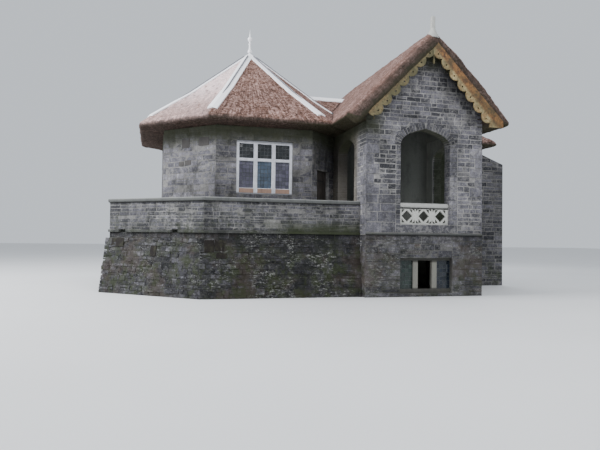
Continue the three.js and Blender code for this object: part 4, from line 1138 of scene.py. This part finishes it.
def porchWalls():
    left, right = frontArch["middle"] - frontArch["half"], frontArch["middle"] + frontArch["half"]
    jambLeft, jambRight = left - plainJamb["width"], right + paleJamb["width"]
    apex = (frontArch["middle"], gable["underside"] - gable["gap"])
    rake = [(apex, (-1.0, 1.0)), (apex, (1.0, 1.0))]
    foot, low, spring = gable["floor"], gable["blocksTop"], frontArch["spring"]
    front = wallOf("porch_front", (0.0, 0.0), (wide, 0.0), [
        zoneOf(-overlap, jambLeft, foot, low, "blocks"),
        zoneOf(-overlap, jambLeft, low, spring, "courses", quoins={"left": 0}, tone=(0.0, 0.5)),
        zoneOf(jambRight, wide + overlap, foot, low, "thin", tone=(0.3, 0.75)),
        zoneOf(jambRight, wide + overlap, low, spring, "courses", quoins={"right": 0}, tone=(0.25, 0.75)),
        zoneOf(-overlap, wide + overlap, spring, gable["coursesTop"], "thin", trims=rake,
               holes=[ringOutline(frontArch)]),
        zoneOf(jambLeft, jambRight, foot, frontArch["sill"], "lintel"),
    ])
    reach = sideArch["half"] + darkJamb["width"]
    spring, top = sideArch["spring"], gable["wallTop"]
    leftSpan, rightSpan = 2.98, 3.2
    leftArch = dict(sideArch, middle=leftSpan - sideArch["middle"],
                    jambs={"left": brownJamb, "right": darkJamb})
    near, far = leftArch["middle"] - reach, leftArch["middle"] + reach
    leftWall = wallOf("porch_left", (0.0, leftSpan), (0.0, 0.0), [
        zoneOf(0.0, near, floorLevel, spring, "courses", tone=(0.0, 0.45)),
        zoneOf(far, leftSpan + overlap, floorLevel, spring, "courses", quoins={"right": 1},
               tone=(0.45, 0.85)),
        zoneOf(0.0, leftSpan + overlap, spring, top, "thin", holes=[ringOutline(leftArch)]),
    ])
    near, far = sideArch["middle"] - reach, sideArch["middle"] + reach
    rightWall = wallOf("porch_right", (wide, 0.0), (wide, rightSpan), [
        zoneOf(-overlap, rightSpan, 0.0, floorLevel, "plinth"),
        zoneOf(-overlap, near, floorLevel, spring, "courses", quoins={"left": 1}),
        zoneOf(far, rightSpan, floorLevel, spring, "courses"),
        zoneOf(-overlap, rightSpan, spring, top, "thin", holes=[ringOutline(sideArch)]),
    ])
    stones = [layWall(wall) for wall in (front, leftWall, rightWall)]
    for wall, opening in ((front, frontArch), (leftWall, leftArch), (rightWall, sideArch)):
        stones.append(archRing(wall, opening))
    finishPiece(joined("porch_stones", stones), "porch_rubble", "porch")

    left, right, top = cellar["left"], cellar["right"], cellar["wallTop"]
    plinth = wallOf("plinth_front", (0.0, -cellar["proud"]), (wide, -cellar["proud"]), [
        zoneOf(-overlap, left, 0.0, top, "plinth"),
        zoneOf(right, wide + overlap, 0.0, top, "plinth"),
        zoneOf(left, right, cellar["head"], top, "plinth"),
        zoneOf(left, right, 0.0, cellar["sill"], "parapet"),
    ])
    leftFoot = wallOf("porch_left_foot", (0.0, 0.44), (0.0, 0.0), [
        zoneOf(0.0, 0.45, 0.0, floorLevel, "plinth")])
    finishPiece(joined("plinth_stones", [layWall(plinth), layWall(leftFoot)]), "plinth_rubble", "plinth")


def pavilionWalls():
    left = window["middle"] - window["half"] - pavilion["left"][0]
    right = window["middle"] + window["half"] - pavilion["left"][0]
    span, cant, corner = pavilion["span"], pavilion["cant"], pavilion["overlap"]
    top = gable["wallTop"]
    walls = [wallOf("pavilion_front", pavilion["left"], pavilion["right"], [
        zoneOf(-corner, left, floorLevel, window["top"], "pavilion"),
        zoneOf(right, span + corner, floorLevel, window["top"], "pavilion"),
        zoneOf(left, right, floorLevel, window["base"], "pavilion"),
        zoneOf(-corner, span + corner, window["top"], top, "pavilion"),
    ])]
    left, right = door["middle"] - door["half"], door["middle"] + door["half"]
    walls.append(wallOf("pavilion_front_right", pavilion["right"], pavilion["porch"], [
        zoneOf(-corner, left, floorLevel, door["top"], "pavilion"),
        zoneOf(right, door["wallEnd"], floorLevel, door["top"], "pavilion"),
        zoneOf(-corner, door["wallEnd"], door["top"], top, "pavilion"),
    ]))
    for name, first, last, length, foot in (
            ("pavilion_front_left", pavilion["west"], pavilion["left"], cant, floorLevel),
            ("pavilion_left", (-5.56, 6.84), pavilion["west"], 3.4, floorLevel),
            ("pavilion_back_left", (-4.06, 8.34), (-5.56, 6.84), cant, 0.0),
            ("pavilion_back", (-1.04, 8.34), (-4.06, 8.34), span, 0.0),
            ("pavilion_back_right", (0.46, 6.84), (-1.04, 8.34), cant, 0.0)):
        walls.append(wallOf(name, first, last, [zoneOf(-corner, length + corner, foot, top, "pavilion")]))
    finishPiece(joined("pavilion_stones", [layWall(wall) for wall in walls]), "pavilion_rubble", "pavilion")
    dark = darkSlabs("pavilion_dark_stones", "pavilion", 4)
    settle(dark, standUp(pavilion["west"], pavilion["left"]))
    finishPiece(dark, "pavilion_rubble", "darkStone")


def backWalls():
    walls = []
    for name, first, last, length, quoins in (
            ("room_left", (0.46, 8.34), (0.46, 6.84), 1.5, {"left": 0}),
            ("room_back", (3.74, 8.34), (0.46, 8.34), 3.28, {"left": 1, "right": 1}),
            ("room_right", (3.74, 6.84), (3.74, 8.34), 1.5, {"right": 0}),
            ("outshot_front", (3.74, 3.2), (5.6, 3.2), 1.86, {}),
            ("outshot_right", (5.6, 3.2), (5.6, 6.84), 3.64, {"right": 0}),
            ("outshot_back", (5.6, 6.84), (3.74, 6.84), 1.86, {"left": 1})):
        walls.append(layWall(wallOf(name, first, last, [
            zoneOf(-overlap, length + overlap, 0.0, gable["wallTop"], "courses", quoins=quoins)])))
    finishPiece(joined("rear_stones", walls), "porch_rubble", "rear")
    walls = []
    start, end, front, back = yard["start"], yard["end"], yard["front"], yard["back"]
    for name, first, last, length, trim in (
            ("yard_front", (start, front), (end, front), 1.09, ((0.0, 4.895), (0.385, 1.0))),
            ("yard_end", (end, front), (end, back), 0.32, ((0.0, 4.48), (0.0, 1.0))),
            ("yard_back", (end, back), (start, back), 1.09, ((0.0, 4.48), (-0.385, 1.0)))):
        walls.append(layWall(wallOf(name, first, last, [
            zoneOf(-yard["overlap"], length + yard["overlap"], 0.0, yard["coursesTop"], "courses",
                   trims=[trim])])))
    finishPiece(joined("yard_wall_stones", walls), "porch_rubble", "rear")


terrace = {
    "path": [(0.0, 0.44), (-4.507, 0.44), (-7.088, 2.65), (-7.088, 6.84), (-5.56, 6.84)],
    "batter": 0.27,
    "wallTop": 1.62,
    "string": 1.78,
    "stringTop": 1.85,
    "parapetTop": 2.66,
    "thick": 0.3,
    "mitre": 0.012,  # how far the battered stones run past the mitre of a corner
    "overlap": 0.004,
    "past": 0.02,  # how far its courses run on before that cut
    "dark": ("terraceFront", "terraceCant"),  # dark blocks in the first lengths of the base
}


def offsetPath(path, distance):  # moved to the left of the way that the path runs, with mitred corners
    points = [Vector(p) for p in path]
    ways = [(b - a).normalized() for a, b in zip(points, points[1:])]
    sides = [Vector((-way.y, way.x)) for way in ways]
    moved = []
    for i, point in enumerate(points):
        before = sides[max(0, i - 1)]
        after = sides[min(len(sides) - 1, i)]
        mitre = (before + after).normalized()
        moved.append(tuple(point - mitre * (distance / mitre.dot(before))))
    return moved


def terraceWalls():
    outer = terrace["path"]
    foot = offsetPath(outer, -terrace["batter"])
    inner = offsetPath(outer, terrace["thick"])
    lean = terrace["batter"] / terrace["wallTop"]
    slant = math.hypot(terrace["batter"], terrace["wallTop"])
    past, edge = terrace["past"], terrace["overlap"]
    base, upper, blocks = [], [], []
    for i in range(len(outer) - 1):
        first, last = Vector(outer[i + 1]), Vector(outer[i])
        length = (last - first).length
        way = (last - first).normalized()
        footFirst, footLast = Vector(foot[i + 1]), Vector(foot[i])
        before = (footFirst - first).dot(way)
        after = (footLast - last).dot(way)
        trims = []
        if abs(before) > 0.01:
            trims.append(((before - terrace["mitre"], 0.0), (-slant, before)))
        if abs(after) > 0.01:
            trims.append(((length + after + terrace["mitre"], 0.0), (slant, after)))
        out = Vector((way.y, -way.x)) * terrace["batter"]
        base.append(layWall(wallOf(f"terrace_base_{i}", tuple(first + out), tuple(last + out), [
            zoneOf(min(0.0, before) - past, length + max(0.0, after) + past, 0.0, slant, "rubble",
                   trims=trims)], lean=lean)))
        if i < len(terrace["dark"]):
            dark = darkSlabs(f"terrace_dark_{i}", terrace["dark"][i], i)
            blocks.append(settle(dark, standUp(tuple(first + out), tuple(last + out), lean)))
        ends = (-edge if i < len(outer) - 2 else 0.0, length + (edge if i else 0.0))
        base.append(layWall(wallOf(f"terrace_band_{i}", tuple(first), tuple(last), [
            zoneOf(*ends, terrace["wallTop"], terrace["string"], "band")])))
        upper.append(layWall(wallOf(f"parapet_face_{i}", tuple(first), tuple(last), [
            zoneOf(*ends, terrace["stringTop"], terrace["parapetTop"], "parapet")])))
        innerFirst, innerLast = Vector(inner[i]), Vector(inner[i + 1])
        upper.append(layWall(wallOf(f"parapet_back_{i}", tuple(innerFirst), tuple(innerLast), [
            zoneOf(0.0, (innerLast - innerFirst).length, floorLevel, terrace["parapetTop"], "parapet")])))
    finishPiece(joined("terrace_base_stones", base), "terrace_rubble", "terrace")
    finishPiece(joined("parapet_stones", upper), "parapet_rubble", "parapet")
    finishPiece(joined("terrace_dark_stones", blocks), "terrace_rubble", "brownStone")
    breakString()


breaks = {"places": (0.52, 2.43), "width": 0.25, "low": 1.772, "high": 1.875, "deep": 0.10,
          "ease": (0.008, 2)}


def breakString():  # two short lengths of the string course have fallen out of the canted wall
    piece = copyOfNode("terrace_cant_parapet", "terrace_cant_parapet_broken")
    first, last = terrace["path"][2], terrace["path"][1]
    half = breaks["width"] / 2.0
    for place in breaks["places"]:
        face = rectangle(place - half, place + half, breaks["low"], breaks["high"], -breaks["deep"])
        cutWith(piece, settle(slabs("gap", [face], cutReach), standUp(first, last)))
    easeEdges(piece, *breaks["ease"])
    finishPiece(piece, "parapet_rubble", "parapetMortar", replaces=("terrace_cant_parapet",))


# Thatch

thatch = {
    "voxel": 0.05,
    "smooth": 8,
    "clouds": {"lumps": (0.30, 3, 0.045), "tufts": (0.10, 1, 0.030)},  # size, depth of the noise, height
    "eaveTop": 5.23,
    "eaveRound": (0.28, 5),  # width of the bevel and its segments
    "ridgeRound": (0.15, 3),
    "fanned": 3.4,  # how far reeds on a round roof lie apart for each radian
    "skew": 0.05,
}
reeds = {  # for each roof: the middle that its reeds fall away from, and whether they fan out
    "pavilion": (pavilion["middle"], True),
    "porch": ((frontArch["middle"], 0.0), False),
    "link": (pavilion["middle"], True),
    "outshot": ((3.6, 5.02), True),
}


def roundEdges(piece, fits, width, segments):  # bevels only the edges whose two ends fit
    edit(piece,
         lambda: bpy.ops.mesh.select_mode(type="EDGE"),
         lambda: bpy.ops.mesh.select_all(action="DESELECT"))
    for edge in piece.data.edges:
        edge.select = all(fits(piece.data.vertices[end].co) for end in edge.vertices)
    bpy.ops.object.mode_set(mode="EDIT")
    bpy.ops.mesh.bevel(offset=width, segments=segments, affect="EDGES", clamp_overlap=True)
    bpy.ops.object.mode_set(mode="OBJECT")


def onEave(spot):
    return abs(spot.z - thatch["eaveTop"]) < 0.01


def onRidge(spot):  # the line that the gable's two slopes meet in
    return abs(spot.z - verge["ridge"]) < 0.01


def combOf(piece, middle, fanned):
    # writes for each point how far it lies along the eave and down the slope, so that reeds run downhill
    comb = piece.data.attributes.new("comb", "FLOAT_VECTOR", "POINT")
    for vertex, value in zip(piece.data.vertices, comb.data):
        way = vertex.co - middle
        if fanned:
            turn = math.atan2(way.y, way.x)
            value.vector = (turn * thatch["fanned"], math.hypot(way.x, way.y) + way.z, 0.0)
        else:
            value.vector = (vertex.co.y + vertex.co.z * thatch["skew"], abs(way.x) + way.z, 0.0)


ceiling = {  # its outline from left to right, with levels
    "line": [(0.335, 5.05), (0.335, 5.76), (1.87, 7.295), (3.405, 5.76), (3.405, 5.05)],
    "front": 0.325,
    "back": 2.895,
    "thick": 0.014,
}


def porchCeiling():  # plaster on the slopes under the porch thatch, between the front wall and the back one
    faces = []
    front, back = ceiling["front"], ceiling["back"]
    for (x0, z0), (x1, z1) in zip(ceiling["line"], ceiling["line"][1:]):
        faces.append([site(x0, front, z0), site(x0, back, z0), site(x1, back, z1), site(x1, front, z1)])
    piece = looseFaces("porch_ceiling", faces)
    edit(piece,
         lambda: bpy.ops.mesh.remove_doubles(threshold=0.001),
         lambda: bpy.ops.mesh.subdivide(number_cuts=6))
    useModifier(piece, "SOLIDIFY", thickness=ceiling["thick"], offset=1.0)
    edit(piece, lambda: bpy.ops.mesh.normals_make_consistent(inside=False))
    finishPiece(piece, "plaster", "plaster", smooth=20.0)


def reshapeThatch(roof):
    middle, fanned = reeds[roof]
    name, node = roof + "_reed", roof + "_thatch"
    piece = copyOfNode(node, name)
    roundEdges(piece, onEave, *thatch["eaveRound"])
    if roof == "porch":
        roundEdges(piece, onRidge, *thatch["ridgeRound"])
        piece = joined(name, [piece, *vergeRolls()])
    useModifier(piece, "REMESH", mode="VOXEL", voxel_size=thatch["voxel"])
    useModifier(piece, "SMOOTH", factor=0.5, iterations=thatch["smooth"])
    for label, (size, depth, height) in thatch["clouds"].items():
        clouds = bpy.data.textures.new(f"{name}_{label}", "CLOUDS")
        clouds.noise_scale = size
        clouds.noise_depth = depth
        useModifier(piece, "DISPLACE", texture=clouds, texture_coords="GLOBAL", strength=height,
                    mid_level=0.5)
    combOf(piece, site(*middle, 5.0), fanned)
    return finishPiece(piece, "thatch", "reed", smooth=70.0, replaces=(node,))


verge = {
    "ridge": 7.74,
    "front": -0.43,
    "rolls": [  # radius, how far forward, then points: how far from the middle and how far above the slope
        (0.225, -0.080, [(0.0, -0.215), (-2.44, -0.215)]),
        (0.120, -0.080, [(0.10, -0.100), (0.75, -0.030), (1.65, -0.030), (2.45, -0.110)]),
    ],
}


def rod(name, first, last, radius, sides=16):
    first, last = Vector(first), Vector(last)
    way = last - first
    return settle(added(
        name, bpy.ops.mesh.primitive_cylinder_add, vertices=sides, radius=radius, depth=way.length,
        location=(first + last) / 2.0, rotation=way.to_track_quat("Z", "Y").to_euler()))


def vergeRolls():  # fat rolls of reed along the front edges of the gable's two slopes
    rolls = []
    for radius, forward, line in verge["rolls"]:
        spots = [site(frontArch["middle"] + reach, verge["front"] - forward,
                      verge["ridge"] - abs(reach) + lift * math.sqrt(2.0)) for reach, lift in line]
        for first, last in zip(spots, spots[1:]):
            rolls.append(rod("verge_roll", first, last, radius))
    return rolls


def makeThatch():
    porchCeiling()
    for roof in reeds:
        reshapeThatch(roof)


# Copings, string courses, floors and the smooth solids

trims = {  # CAD solids with eased edges: width of the bevel, segments, slot, finish
    "terrace_coping": (0.030, 3, "coping_stone", "coping"),
    "porch_string_course": (0.010, 2, "coping_stone", "band"),
    "basement_window_frame": (0.018, 2, "window_stone", "mullion"),
    "pavilion_window_frame": (0.016, 2, "window_stone", "dressed"),
    "balustrade_rail": (0.022, 3, "cream_paint", "white"),
    "gable_finial": (0.008, 2, "cream_paint", "white"),
}


def easeTrims():
    for node, (width, segments, slot, finish) in trims.items():
        piece = copyOfNode(node, node + "_finished")
        easeEdges(piece, width, segments)
        finishPiece(piece, slot, finish, replaces=(node,))


panel = {
    "front": 0.09,
    "low": 2.10,
    "high": 2.60,
    "half": 0.797,
    "pitch": 0.54,
    "groove": (0.045, 0.045),  # height and depth
    "hole": [(0.098, 0.072), (0.202, 0.192), (0.098, 0.192)],  # from the middle of a meeting of the bars
    "meetings": (-1.5, -0.5, 0.5, 1.5),  # of the bars, in pitches from the middle
    "through": 0.2,
    "ease": (0.006, 2),
}


def makePanel():
    # the pierced panel, with the larger openings between its lozenges and the groove under the rail
    piece = copyOfNode("balustrade_panel", "balustrade_panel_carved")
    centre = frontArch["middle"]
    middle = (panel["low"] + panel["high"]) / 2.0
    matrix = standUp((0.0, panel["front"]), (wide, panel["front"]))
    through = panel["through"]
    for place in panel["meetings"]:
        for side in (-1.0, 1.0):
            if abs(place * panel["pitch"] + side * panel["hole"][0][0]) > panel["half"]:
                continue
            for rise in (-1.0, 1.0):
                outline = [(centre + place * panel["pitch"] + side * x, middle + rise * z)
                           for x, z in panel["hole"]]
                if side * rise < 0.0:
                    outline.reverse()
                cutWith(piece, settle(outlineBlock("hole", outline, -through, through), matrix))
    tall, deep = panel["groove"]
    face = rectangle(centre - 1.0, centre + 1.0, panel["high"] - tall, panel["high"] + 0.01, -deep)
    cutWith(piece, settle(slabs("groove", [face], through), matrix))
    easeEdges(piece, *panel["ease"])
    finishPiece(piece, "cream_paint", "panelWhite", replaces=("balustrade_panel",))


gableTrim = {  # radii and heights: of the foot over the ridge, and of the drop over the ground
    "foot": [(0.170, -0.27), (0.155, -0.17), (0.095, -0.06), (0.066, 0.03)],
    "drop": [(0.004, 6.70), (0.026, 6.725), (0.034, 6.77), (0.026, 6.83), (0.012, 6.88), (0.012, 7.16)],
    "dropFront": -0.455,
}


def makeGableTrim():  # a lead foot that flares from the post over the thatch, and the drop under the boards
    low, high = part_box("gable_finial")
    profile = [(radius, verge["ridge"] + height) for radius, height in gableTrim["foot"]]
    foot = turned("gable_foot", profile, Vector(((low.x + high.x) / 2.0, (low.y + high.y) / 2.0, 0.0)), 24)
    finishPiece(foot, "lead", "white")
    drop = turned("gable_drop", gableTrim["drop"], site(frontArch["middle"], gableTrim["dropFront"]), 16)
    finishPiece(drop, "cream_paint", "boardLeft")


boardFront = -0.45
boardHoles = {  # along the board from the middle, and down from the slope
    "count": 8, "radius": 0.026, "pitch": 0.262, "first": 0.131, "top": 7.47, "fall": 1.12, "drop": 0.32,
    "lowest": 5.08, "deep": 0.1, "ease": (0.006, 2),
}
boardEnd = {"left": -0.16, "low": 5.085, "radius": 0.205, "steps": 6, "past": 0.12, "deep": 0.15}


def roundedCorner():  # takes off the lower corner at the left board's end
    left, low, radius, past = boardEnd["left"], boardEnd["low"], boardEnd["radius"], boardEnd["past"]
    outline = [(left + radius, low - past), (left - past, low - past), (left - past, low + radius)]
    for i in range(boardEnd["steps"] + 1):
        turn = math.pi / 2 * i / boardEnd["steps"]
        outline.append((left + radius * (1 - math.cos(turn)), low + radius * (1 - math.sin(turn))))
    outline.reverse()
    block = outlineBlock("board_corner", outline, -boardEnd["deep"], boardEnd["deep"])
    return settle(block, Matrix.Translation(site(0.0, boardFront)) @ Matrix.Rotation(math.pi / 2, 4, "X"))


def makeBoards():
    holes = boardHoles
    through = Vector((0.0, holes["deep"], 0.0))
    for side, sign, finish in (("left", -1.0, "boardLeft"), ("right", 1.0, "boardRight")):
        node = f"bargeboard_{side}"
        piece = copyOfNode(node, node + "_pierced")
        for i in range(holes["count"]):
            along = holes["first"] + i * holes["pitch"]
            level = holes["top"] - along * holes["fall"] - holes["drop"]
            if level > holes["lowest"]:
                spot = site(frontArch["middle"] + sign * along, boardFront, level)
                cutWith(piece, rod("hole", spot - through, spot + through, holes["radius"], 12))
        if side == "left":
            cutWith(piece, roundedCorner())
        easeEdges(piece, *holes["ease"])
        finishPiece(piece, "bargeboard_wood", finish, replaces=(node,))


leading = {
    "bar": 0.010,
    "proud": 0.006,
    "tilt": 0.006,
    "pane": 0.004,
    "ease": 0.002,
    "face": 0.13,  # how far behind the wall's face
    "tone": (0.1, 0.9),
    "columns": 4,
}


def leadedLights(name, start, end, lights, rows, glass, node, came="darkCame"):
    # small panes, each tipped a little, with lead bars between; each light is left, right, low and high
    dice = random.Random(name)
    columns, tilt, half = leading["columns"], leading["tilt"], leading["bar"] / 2.0
    panes, bars = [], []
    for left, right, low, high in lights:
        broad = (right - left) / columns
        tall = (high - low) / rows
        for column in range(columns):
            for row in range(rows):
                lean, nod = dice.uniform(-1, 1) * tilt, dice.uniform(-1, 1) * tilt
                x, y = left + column * broad, low + row * tall
                corners = rectangle(x, x + broad, y, y + tall)
                panes.append([(u, v, (u - x) / broad * lean + (v - y) / tall * nod) for u, v, _ in corners])
        for column in range(columns + 1):
            x = left + column * broad
            bars.append(rectangle(x - half, x + half, low, high))
        for row in range(rows + 1):
            y = low + row * tall
            bars.append(rectangle(left, right, y - half, y + half))
    matrix = sunk(standUp(start, end), leading["face"])
    pane = slabs(name + "_panes", panes, leading["pane"])
    writeTones(pane, *leading["tone"], dice)
    settle(pane, matrix)
    finishPiece(pane, "leaded_glass", glass, smooth=10.0, replaces=(node,) if node else ())
    lead = slabs(name + "_bars", bars, leading["pane"] + leading["proud"])
    easeEdges(lead, leading["ease"])
    settle(lead, matrix)
    finishPiece(lead, "lead", came)


def makeWindows():
    jamb, mullion = window["jamb"], window["mullion"]
    light = (2.0 * (window["half"] - jamb) - 2.0 * mullion) / 3.0
    starts = [window["middle"] - window["half"] + jamb + column * (light + mullion) - pavilion["left"][0]
              for column in range(3)]
    upper, lower, sills = [[(start, start + light, *window[part]) for start in starts]
                           for part in ("upper", "lower", "sill")]
    wall = pavilion["left"], pavilion["right"]
    leadedLights("pavilion_upper_lights", *wall, upper, 4, "greyGlass", "pavilion_window_glass", "came")
    leadedLights("pavilion_side_lights", *wall, [lower[0], lower[2]], 7, "lilacGlass", None)
    leadedLights("pavilion_middle_light", *wall, [lower[1]], 7, "blueGlass", None)
    width = (cellar["right"] - cellar["left"] - 2.0 * cellar["mullion"]) / 3.0
    for name, number, glass in (("left", 0, "greenGlass"), ("right", 2, "darkGlass")):
        start = cellar["left"] + number * (width + cellar["mullion"])
        light = (start, start + width, *cellar["light"])
        leadedLights(f"basement_{name}_light", (0.0, 0.0), (wide, 0.0), [light], 7, glass,
                     f"basement_window_glass_{name}")
    sill = slabs("window_sills", [rectangle(*place) for place in sills], window["sillThick"])
    easeEdges(sill, window["sillEase"])
    settle(sill, sunk(standUp(*wall), window["sillFace"]))
    finishPiece(sill, "window_stone", "sill")


doorway = {
    "boards": 5,
    "gap": 0.003,
    "levels": (1.80, 3.835),
    "straps": (2.1, 3.5),
    "strap": (0.02, 0.16, 0.045),  # from the one end, from the other, and its height
    "planks": 0.121,  # how far behind the wall's face they start
    "thick": 0.012,
    "strapThick": 0.006,
    "ease": (0.004, 0.002),  # of the boards and of the straps
    "ring": (0.08, 2.78),  # from the end, and its level
    "ringSize": (0.045, 0.007),
}


def makeDoor():
    start, end = door["middle"] - door["half"], door["middle"] + door["half"]
    each = (end - start) / doorway["boards"]
    gap, thick = doorway["gap"], doorway["thick"]
    boards = [rectangle(start + i * each + gap, start + (i + 1) * each - gap, *doorway["levels"])
              for i in range(doorway["boards"])]
    planks = slabs("door_planks", boards, thick)
    boardEase, strapEase = doorway["ease"]
    easeEdges(planks, boardEase)
    matrix = sunk(standUp(pavilion["right"], pavilion["porch"]), doorway["planks"])
    settle(planks, matrix)
    finishPiece(planks, "oak", "oak")
    first, last, tall = doorway["strap"]
    straps = [rectangle(start + first, end - last, level, level + tall) for level in doorway["straps"]]
    iron = slabs("door_straps", straps, doorway["strapThick"])
    easeEdges(iron, strapEase)
    matrix = sunk(matrix, -thick)
    settle(iron, matrix)
    inward, level = doorway["ring"]
    wideRadius, thinRadius = doorway["ringSize"]
    ring = settle(added(
        "door_ring", bpy.ops.mesh.primitive_torus_add, major_radius=wideRadius, minor_radius=thinRadius,
        major_segments=24, minor_segments=8, location=matrix @ Vector((end - inward, level, thick)),
        rotation=(math.radians(90.0), 0.0, math.radians(45.0))))
    finishPiece(joined("door_ironwork", [iron, ring]), "lead", "iron")


def turned(name, profile, centre, sides=32):
    # a turned piece from a filled ring, extruded and resized for each radius and height in the profile
    piece = settle(added(name, bpy.ops.mesh.primitive_circle_add, vertices=sides, radius=profile[0][0],
                         fill_type="NGON", location=(0.0, 0.0, profile[0][1])))
    bpy.ops.object.mode_set(mode="EDIT")
    bpy.ops.mesh.select_all(action="SELECT")
    for (radius, height), (nextRadius, nextHeight) in zip(profile, profile[1:]):
        bpy.ops.mesh.extrude_region_move(TRANSFORM_OT_translate={"value": (0.0, 0.0, nextHeight - height)})
        scale = nextRadius / radius
        bpy.ops.transform.resize(value=(scale, scale, 1.0), center_override=(0.0, 0.0, nextHeight))
    bpy.ops.mesh.select_all(action="SELECT")
    bpy.ops.mesh.normals_make_consistent(inside=False)
    bpy.ops.object.mode_set(mode="OBJECT")
    return settle(piece, Matrix.Translation(centre))


spike = [  # radius and height
    (0.058, 0.002), (0.076, 0.020), (0.078, 0.035), (0.070, 0.085), (0.045, 0.130), (0.036, 0.160),
    (0.030, 0.250), (0.034, 0.300), (0.048, 0.325), (0.046, 0.340), (0.029, 0.355), (0.026, 0.410),
    (0.052, 0.432), (0.074, 0.465), (0.081, 0.505), (0.074, 0.545), (0.052, 0.578), (0.026, 0.596),
    (0.020, 0.640), (0.029, 0.655), (0.028, 0.668), (0.013, 0.690), (0.004, 0.850), (0.001, 0.858),
]


def makeFinial():
    finial = turned("pavilion_spike", spike, site(*pavilion["middle"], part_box("pavilion_finial")[0].z))
    finishPiece(finial, "lead", "lead", smooth=50.0, replaces=("pavilion_finial",))


hips = {
    "corners": [(-4.367, 1.2), (-0.733, 1.2), (1.2, 3.133), (1.2, 7.147), (-0.733, 9.08), (-4.367, 9.08),
                (-6.3, 7.147), (-6.3, 3.133)],
    "levels": [(0.92, 5.40), (0.58, 6.457), (0.06, 8.17)],  # part of the way from the apex, and the level
    "roll": 0.030,
    "lift": 0.030,
}


# rolls along the hips, in dark lead as the painted shadow line beside each roll
def makeHipRolls():
    x0, y0 = pavilion["middle"]
    rolls = []
    for x, y in hips["corners"]:
        spots = [site(x0 + (x - x0) * part, y0 + (y - y0) * part, level + hips["lift"])
                 for part, level in hips["levels"]]
        for first, last in zip(spots, spots[1:]):
            rolls.append(rod("roll", first, last, hips["roll"], 10))
    finishPiece(joined("hip_rolls", rolls), "lead", "darkLead")


cadFinishes = {
    "terraceMortar": ["terrace_front_wall", "terrace_cant_wall", "terrace_side_wall"],
    "parapetMortar": ["terrace_front_parapet", "terrace_cant_parapet", "terrace_side_parapet"],
    "plinthMortar": ["porch_plinth"],
    "pavilionMortar": ["pavilion_front_wall", "pavilion_front_right_wall", "pavilion_right_wall",
                       "pavilion_back_wall", "pavilion_front_left_wall"],
    "porchMortar": ["porch_gable_wall", "porch_left_wall", "porch_right_wall"],
    "rearMortar": ["back_room_wall", "outshot_wall", "yard_wall"],
    "plaster": ["porch_back_wall"],
    "paving": ["terrace_floor", "pavilion_floor", "porch_floor", "basement_floor", "back_room_floor"],
    "oak": ["terrace_door"],
    "lead": ["pavilion_hip_lead", "link_ridge_lead"],
}


def finishCad():
    for finish, names in cadFinishes.items():
        for name in names:
            nodes[name].material_slots[0].material = materials[finish]


addCamera()
addStudio()
materials = makeMaterials()
floor = settle(added("studio_floor", bpy.ops.mesh.primitive_plane_add, size=studio["floor"] * 2.0,
                     location=(0.0, 0.0, studio["floorLevel"])))
floor.data.materials.append(materials["floor"])
print("camera, light and materials are made")

porchWalls()
print("porch stones are laid")
pavilionWalls()
print("pavilion stones are laid")
backWalls()
print("rear stones are laid")
terraceWalls()
print("terrace stones are laid")
makeThatch()
print("thatch is shaped")
easeTrims()
makePanel()
makeGableTrim()
makeBoards()
print("trims and bargeboards are made")
makeWindows()
makeDoor()
print("windows and door are made")
makeFinial()
makeHipRolls()
finishCad()
print("lead and finishes are done")
